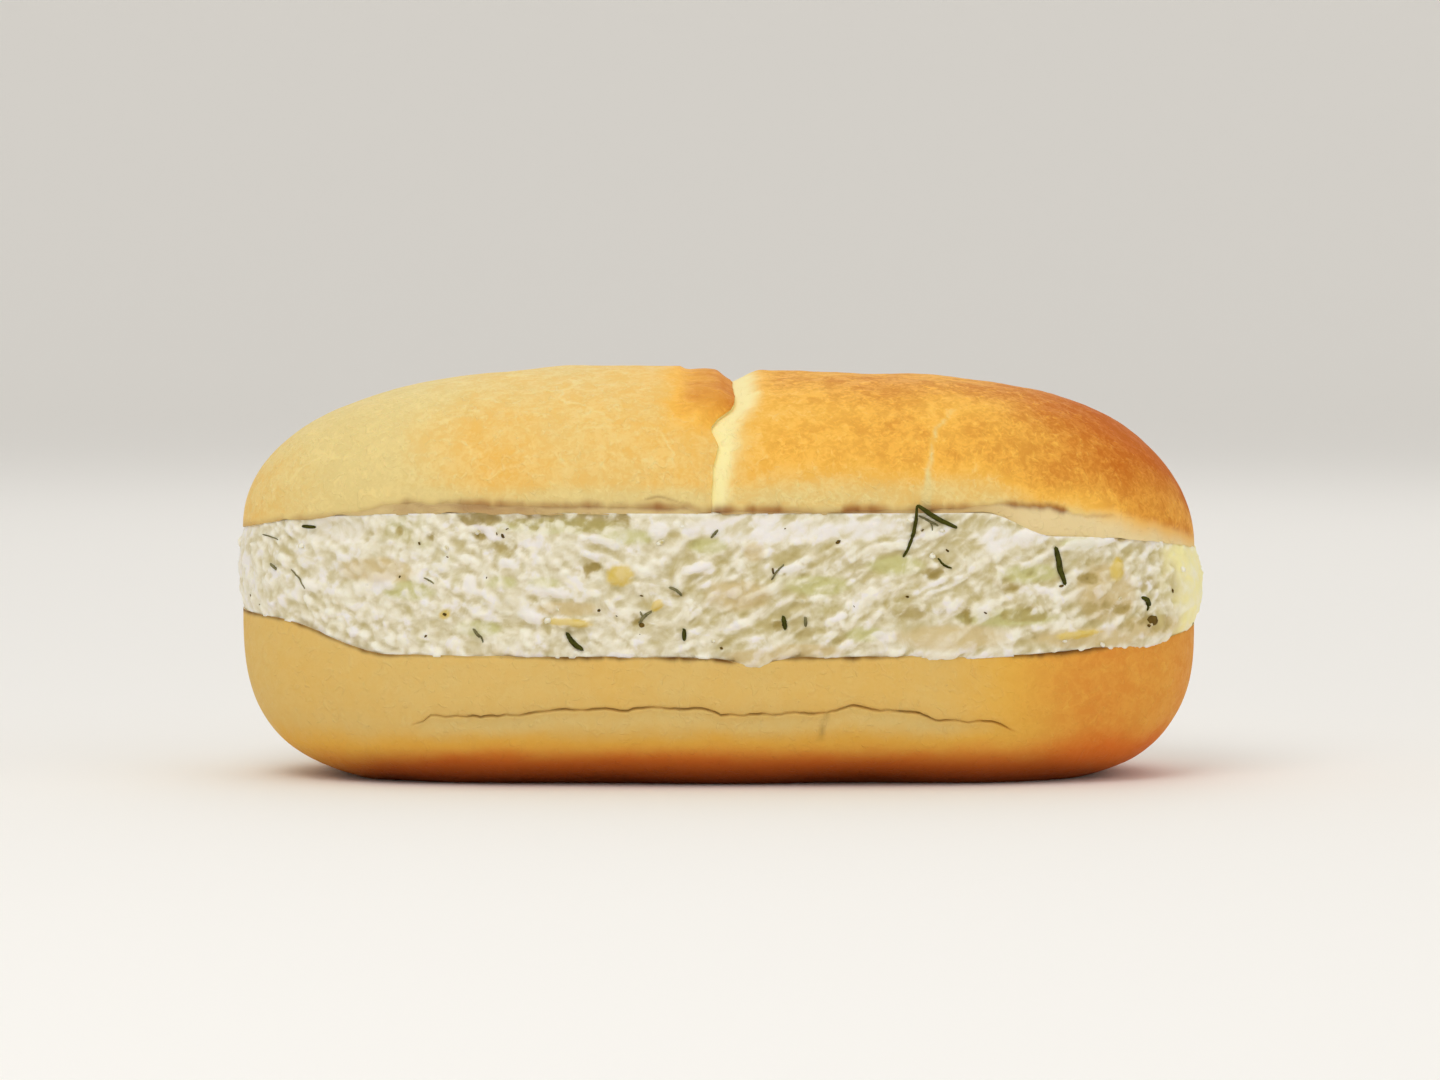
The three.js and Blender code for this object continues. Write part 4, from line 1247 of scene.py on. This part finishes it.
class CheeseFace:
    """Finds places on the cheese's outer face, by how far round the roll and how high they are."""

    def __init__(self, cheese):
        points = [corner.co / MM for corner in cheese.data.vertices]
        self.tree = BVHTree.FromPolygons(points, [face.vertices[:] for face in cheese.data.polygons])
        self.at, self.out = outline(3600)
        self.step = np.linalg.norm(self.at[1] - self.at[0])

    def index(self, side, x):
        """The outline's point nearest to a place along the front or the back."""
        facing = self.at[:, 1] < 0 if side == "front" else self.at[:, 1] > 0
        return int(np.argmin(np.where(facing, np.abs(self.at[:, 0] - x), 999)))

    def side(self, index):
        """An outline point and the outward direction there."""
        return self.at[int(index) % len(self.at)], self.out[int(index) % len(self.at)]

    def point(self, index, height):
        """The cheese's point and its outward direction, from an outline point and a height."""
        at, out = self.side(index)
        start = Vector((*(at + out * 8), height))
        hit, normal, _, _ = self.tree.ray_cast(start, Vector((*-out, 0)))
        if hit is None:
            return np.array((*(at + RIM_LIFT * out), height)), np.array((*out, 0.0))
        return np.array(hit), np.array(normal)


def tube(path, radii, sides=6):
    """A closed tube along a path of points, drawn to a point at both ends."""
    path = np.asarray(path)
    along = unit(np.gradient(path, axis=0))
    across = unit(np.cross(along, (0.3, 0.2, 1)))
    up = np.cross(across, along)
    turns = 2 * math.pi * np.arange(sides) / sides
    around = np.cos(turns)[None, :, None] * across[:, None] + np.sin(turns)[None, :, None] * up[:, None]
    rings = path[:, None] + around * np.asarray(radii)[:, None, None]
    tips = path[0] - along[0] * radii[0], path[-1] + along[-1] * radii[-1]
    return loft(rings, *tips)


def draped(lifts, spacing, steepest=0.35):
    """How far a stiff leaf lies over the outline, if it can't dip more steeply than a given slope."""
    lifts = list(lifts)
    for order in (range(1, len(lifts)), range(len(lifts) - 2, -1, -1)):
        for here in order:
            before = here - 1 if order.step > 0 else here + 1
            lifts[here] = max(lifts[here], lifts[before] - steepest * spacing)
    return lifts


def leaf(face, start, end, thickness, bow):
    """A slim leaf that lies on the cheese between two places, each an outline index and a height."""
    (start_index, start_height), (end_index, end_height) = start, end
    along, up = (end_index - start_index) * face.step, end_height - start_height
    reach = math.hypot(along, up)
    steps = 13
    places = []
    for share in np.linspace(0, 1, steps):
        aside = bow * math.sin(math.pi * share)
        index = mix(start_index, end_index, share) + aside * up / reach / face.step
        places.append((index, mix(start_height, end_height, share) - aside * along / reach))
    sides = [face.side(index) for index, _ in places]
    lifts = [(face.point(*spot)[0][:2] - at) @ out for spot, (at, out) in zip(places, sides)]
    lifts = draped(lifts, reach / (steps - 1))
    path = [(*(at + out * (lift + 0.2 * thickness)), height)
            for (at, out), lift, (_, height) in zip(sides, lifts, places)]
    taper = np.sin(math.pi * np.linspace(0.12, 0.9, steps)) ** 0.4
    return tube(path, 0.5 * thickness * taper)


def dill_parts(face, leaves):
    """Every leaf and side leaf in a list, as tubes."""
    draw = np.random.default_rng(23)
    for side, x, height, end_x, end_height, thickness, bow, side_leaves in leaves:
        start = (face.index(side, x), height)
        end = (face.index(side, end_x), end_height)
        yield leaf(face, start, end, thickness, bow)
        for number in range(side_leaves):
            share = mix(0.3, 0.7, (number + 0.5) / side_leaves)
            index, level = mix(np.array(start), np.array(end), share)
            turn = draw.uniform(0, 2 * math.pi)
            reach = draw.uniform(1, 1.8)
            tip = (index + reach * math.cos(turn) / face.step, level + reach * math.sin(turn))
            yield leaf(face, (index, level), tip, 0.6 * thickness, 0.2)


def merged(parts):
    """One set of points and faces from several."""
    points, faces, count = [], [], 0
    for part_points, part_faces in parts:
        points.append(part_points)
        faces += [tuple(int(corner) + count for corner in part_face) for part_face in part_faces]
        count += len(part_points)
    return np.concatenate(points), faces


def scattered_lumps(face, count, sizes, shape, sunk, detail, bumps, seed):
    """Small lumps in chance places on the cheese, half sunk into it."""
    draw = np.random.default_rng(seed)
    centres, outward = [], []
    size = mix(sizes[0], sizes[1], draw.random(count) ** 1.8)
    for each in range(count):
        index = draw.integers(len(face.at))
        low, high = band_limits(face.at[index, 0])
        hit, normal = face.point(index, draw.uniform(low + 1, high - 1))
        centres.append(hit + normal * size[each] * (shape[2] - sunk))
        outward.append(normal)
    radii = size[:, None] * np.array(shape) * draw.uniform(0.75, 1.25, (count, 3))
    frames = leaning_frames(unit(np.array(outward)), draw.uniform(-1.5, 1.5, count))
    return joined_lumps(np.array(centres), frames, radii, detail, bumps, draw)


def named_spots(face):
    """Flat dark lumps in the places that are named."""
    draw = np.random.default_rng(61)
    hits = [face.point(face.index("front", x), height) for x, height, _ in SPOTS]
    centres, outward = (np.array(part) for part in zip(*hits))
    radii = np.array([(size, 0.8 * size, 0.35) for _, _, size in SPOTS])
    frames = leaning_frames(unit(outward), np.zeros(len(SPOTS)))
    return joined_lumps(centres - 0.15 * outward, frames, radii, 3, 0.05, draw)


def speckled_material(name, base, spots, spot_size, roughness, subsurface):
    """A plain food colour with spots of another, a little gloss and fine relief."""
    material, nodes, sockets = new_material(name, {
        "Subsurface Weight": subsurface, "Subsurface Radius": (1, 0.8, 0.4), "Subsurface Scale": 1 * MM,
        "Specular IOR Level": 0.12,
    })
    where = nodes.add("ShaderNodeTexCoord").outputs["Object"]
    fine = nodes.noise(where, spot_size, 4, 0.8)
    nodes.tree.links.new(nodes.blend(nodes.ramp(fine, 0.42, 0.68), base, spots), sockets["Base Color"])
    nodes.tree.links.new(nodes.ramp(fine, 0.3, 0.7, roughness, roughness + 0.15), sockets["Roughness"])
    use_bump(nodes, sockets, fine, 0.08)
    return material


def darker(shade, share):
    return tuple(value * share for value in shade)


# Stage.


def make_light(name, target, azimuth, elevation, distance, size, power):
    """A soft square light that faces the roll and doesn't show itself."""
    lamp = bpy.data.lights.new(name, "AREA")
    lamp.size = size
    lamp.energy = power
    obj = bpy.data.objects.new(name, lamp)
    bpy.context.scene.collection.objects.link(obj)
    a, e = math.radians(azimuth), math.radians(elevation)
    back = Vector((math.sin(a) * math.cos(e), -math.cos(a) * math.cos(e), math.sin(e)))
    obj.location = target + back * distance
    obj.rotation_euler = (-back).to_track_quat("-Z", "Y").to_euler()
    obj.visible_camera = False
    return obj


def make_floor(colour_value):
    """A round floor whose edge sweeps up into a backdrop, so that it looks alike from every side."""
    flat, sweep, height, sides = 1.6, 0.7, 0.9, 96
    profile = [(0.02, 0), (0.3, 0), (flat, 0)]
    for step in range(1, 13):
        turn = math.pi / 2 * step / 12
        profile.append((flat + sweep * math.sin(turn), sweep * (1 - math.cos(turn))))
    profile.append((flat + sweep, height))
    turns = np.arange(sides) * 2 * math.pi / sides
    points = [(0, 0, 0)] + [(r * math.cos(t), r * math.sin(t), z) for r, z in profile for t in turns]
    faces = [(0, 1 + i, 1 + (i + 1) % sides) for i in range(sides)]
    for row in range(len(profile) - 1):
        a, b = 1 + row * sides, 1 + (row + 1) * sides
        faces += [(a + i, b + i, b + (i + 1) % sides, a + (i + 1) % sides) for i in range(sides)]
    mesh = bpy.data.meshes.new("floor")
    mesh.from_pydata(points, [], faces)
    mesh.shade_smooth()
    floor = bpy.data.objects.new("floor", mesh)
    bpy.context.scene.collection.objects.link(floor)
    material, _, sockets = new_material("pale floor", {"Base Color": (*colour_value, 1), "Roughness": 0.85})
    floor.data.materials.append(material)


# Operators.


class SANDWICH_OT_crown(bpy.types.Operator):
    """Make the upper half of the roll, with the split across it"""

    bl_idname = "sandwich.crown"
    bl_label = "Crown"

    def execute(self, context):
        bread = context.scene.sandwich_bread
        points, faces, masks = with_poles(*crown_surface(bread), UPPER_CUT)
        crown = make_object("golden_crown", points, faces, masks)
        place(crown, crust_material("upper crust", bread, bread.brown), "upper_crust", "crown")
        return {"FINISHED"}


class SANDWICH_OT_heel(bpy.types.Operator):
    """Make the lower half of the roll, with the crease along its front"""

    bl_idname = "sandwich.heel"
    bl_label = "Heel"

    def execute(self, context):
        bread = context.scene.sandwich_bread
        points, faces, masks = with_poles(*heel_surface(bread), LOWER_CUT)
        heel = make_object("baked_heel", points, faces, masks)
        place(heel, crust_material("lower crust", bread, bread.low_brown, bread.tint_and_painted_shade), "lower_crust", "heel")
        return {"FINISHED"}


class SANDWICH_OT_cheese(bpy.types.Operator):
    """Make the crumbled white cheese between the halves"""

    bl_idname = "sandwich.cheese"
    bl_label = "White cheese"

    def execute(self, context):
        filling = context.scene.sandwich_filling
        points, faces, masks = cheese_surface(filling)
        cheese = make_object(CHEESE, points, faces, masks)
        place(cheese, cheese_material(filling), "white_cheese", "filling")
        return {"FINISHED"}


class SANDWICH_OT_crumbs(bpy.types.Operator):
    """Stick loose crumbs to the cheese"""

    bl_idname = "sandwich.crumbs"
    bl_label = "Loose crumbs"

    def execute(self, context):
        filling = context.scene.sandwich_filling
        face = CheeseFace(bpy.data.objects[CHEESE])
        crumbs = scattered_lumps(face, filling.crumbs, (0.22, 0.45), (1.4, 1, 0.7), 0.45, 2, 0.1, 41)
        look = speckled_material("cheese crumbs", filling.cream, filling.painted_shade_and_tone, 1.2, 0.4, 0.2)
        place(make_object("cheese_crumbs", *crumbs), look, "white_cheese")
        return {"FINISHED"}


class SANDWICH_OT_herbs(bpy.types.Operator):
    """Lay dill and flecks of herb on the cheese"""

    bl_idname = "sandwich.herbs"
    bl_label = "Dill and flecks"

    def execute(self, context):
        filling = context.scene.sandwich_filling
        face = CheeseFace(bpy.data.objects[CHEESE])
        look = speckled_material("dill", filling.herb, darker(filling.herb, 0.5), 0.8, 0.55, 0.0)
        place(make_object("dill_leaves", *merged(dill_parts(face, DILL))), look, "white_cheese")
        look = speckled_material("dill stems", filling.stem, darker(filling.stem, 0.6), 0.8, 0.55, 0.0)
        place(make_object("dill_stems", *merged(dill_parts(face, STEMS))), look, "white_cheese")
        scattered = scattered_lumps(face, filling.flecks, (0.15, 0.42), (1.1, 0.6, 0.35), 0.15, 1, 0.15, 53)
        look = speckled_material("herb flecks", filling.fleck, darker(filling.fleck, 0.5), 1.5, 0.6, 0.0)
        place(make_object("herb_flecks", *merged((scattered, named_spots(face)))), look, "white_cheese")
        return {"FINISHED"}


class SANDWICH_OT_stage(bpy.types.Operator):
    """Make the floor, the lights and the camera"""

    bl_idname = "sandwich.stage"
    bl_label = "Stage"

    def execute(self, context):
        stage = context.scene.sandwich_stage
        scene = context.scene
        scene.view_settings.view_transform = "Standard"
        world = bpy.data.worlds.new("studio")
        scene.world = world
        world.use_nodes = True
        world.node_tree.nodes["Background"].inputs["Color"].default_value = (1, 0.98, 0.95, 1)
        world.node_tree.nodes["Background"].inputs["Strength"].default_value = stage.sky
        make_floor(stage.floor)
        middle = Vector((0, 0, 0.03))
        make_light("key", middle, -24, 50, 0.9, 0.5, stage.key)
        make_light("fill", middle, 58, 24, 1.0, 0.8, stage.fill)
        make_light("back", middle, 175, 40, 1.0, 0.7, stage.fill)
        make_light("ceiling", middle, 0, 90, 2.1, 2.6, stage.ceiling)
        camera_data = bpy.data.cameras.new("camera")
        camera = bpy.data.objects.new("camera", camera_data)
        scene.collection.objects.link(camera)
        scene.camera = camera
        frame_width = 1440 * 0.15576 * MM
        camera_data.lens = camera_data.sensor_width * stage.distance / frame_width
        target = Vector((0.2 * MM, 0, 36.2 * MM))
        back = Vector((0, -math.cos(stage.elevation), math.sin(stage.elevation)))
        camera.location = target + back * stage.distance
        camera.rotation_euler = (-back).to_track_quat("-Z", "Y").to_euler()
        return {"FINISHED"}


class SANDWICH_PT_panel(bpy.types.Panel):
    """Settings and steps of the sandwich"""

    bl_label = "Sandwich"
    bl_space_type = "VIEW_3D"
    bl_region_type = "UI"
    bl_category = "Sandwich"

    def draw(self, context):
        layout = self.layout
        for owner in ("sandwich_bread", "sandwich_filling", "sandwich_stage"):
            settings = getattr(context.scene, owner)
            box = layout.box()
            for name in settings.__annotations__:
                box.prop(settings, name)
        for operator in OPERATORS:
            layout.operator(operator.bl_idname)


OPERATORS = (
    SANDWICH_OT_stage, SANDWICH_OT_heel, SANDWICH_OT_cheese, SANDWICH_OT_crumbs, SANDWICH_OT_herbs, SANDWICH_OT_crown,
)
CLASSES = (SandwichBread, SandwichFilling, SandwichStage, *OPERATORS, SANDWICH_PT_panel)


def register():
    for cls in CLASSES:
        bpy.utils.register_class(cls)
    bpy.types.Scene.sandwich_bread = PointerProperty(type=SandwichBread)
    bpy.types.Scene.sandwich_filling = PointerProperty(type=SandwichFilling)
    bpy.types.Scene.sandwich_stage = PointerProperty(type=SandwichStage)


def unregister():
    del bpy.types.Scene.sandwich_stage
    del bpy.types.Scene.sandwich_filling
    del bpy.types.Scene.sandwich_bread
    for cls in reversed(CLASSES):
        bpy.utils.unregister_class(cls)


def main():
    register()
    bpy.ops.sandwich.stage()
    bpy.ops.sandwich.heel()
    bpy.ops.sandwich.cheese()
    bpy.ops.sandwich.crumbs()
    bpy.ops.sandwich.herbs()
    bpy.ops.sandwich.crown()


if __name__ == "__main__":
    main()
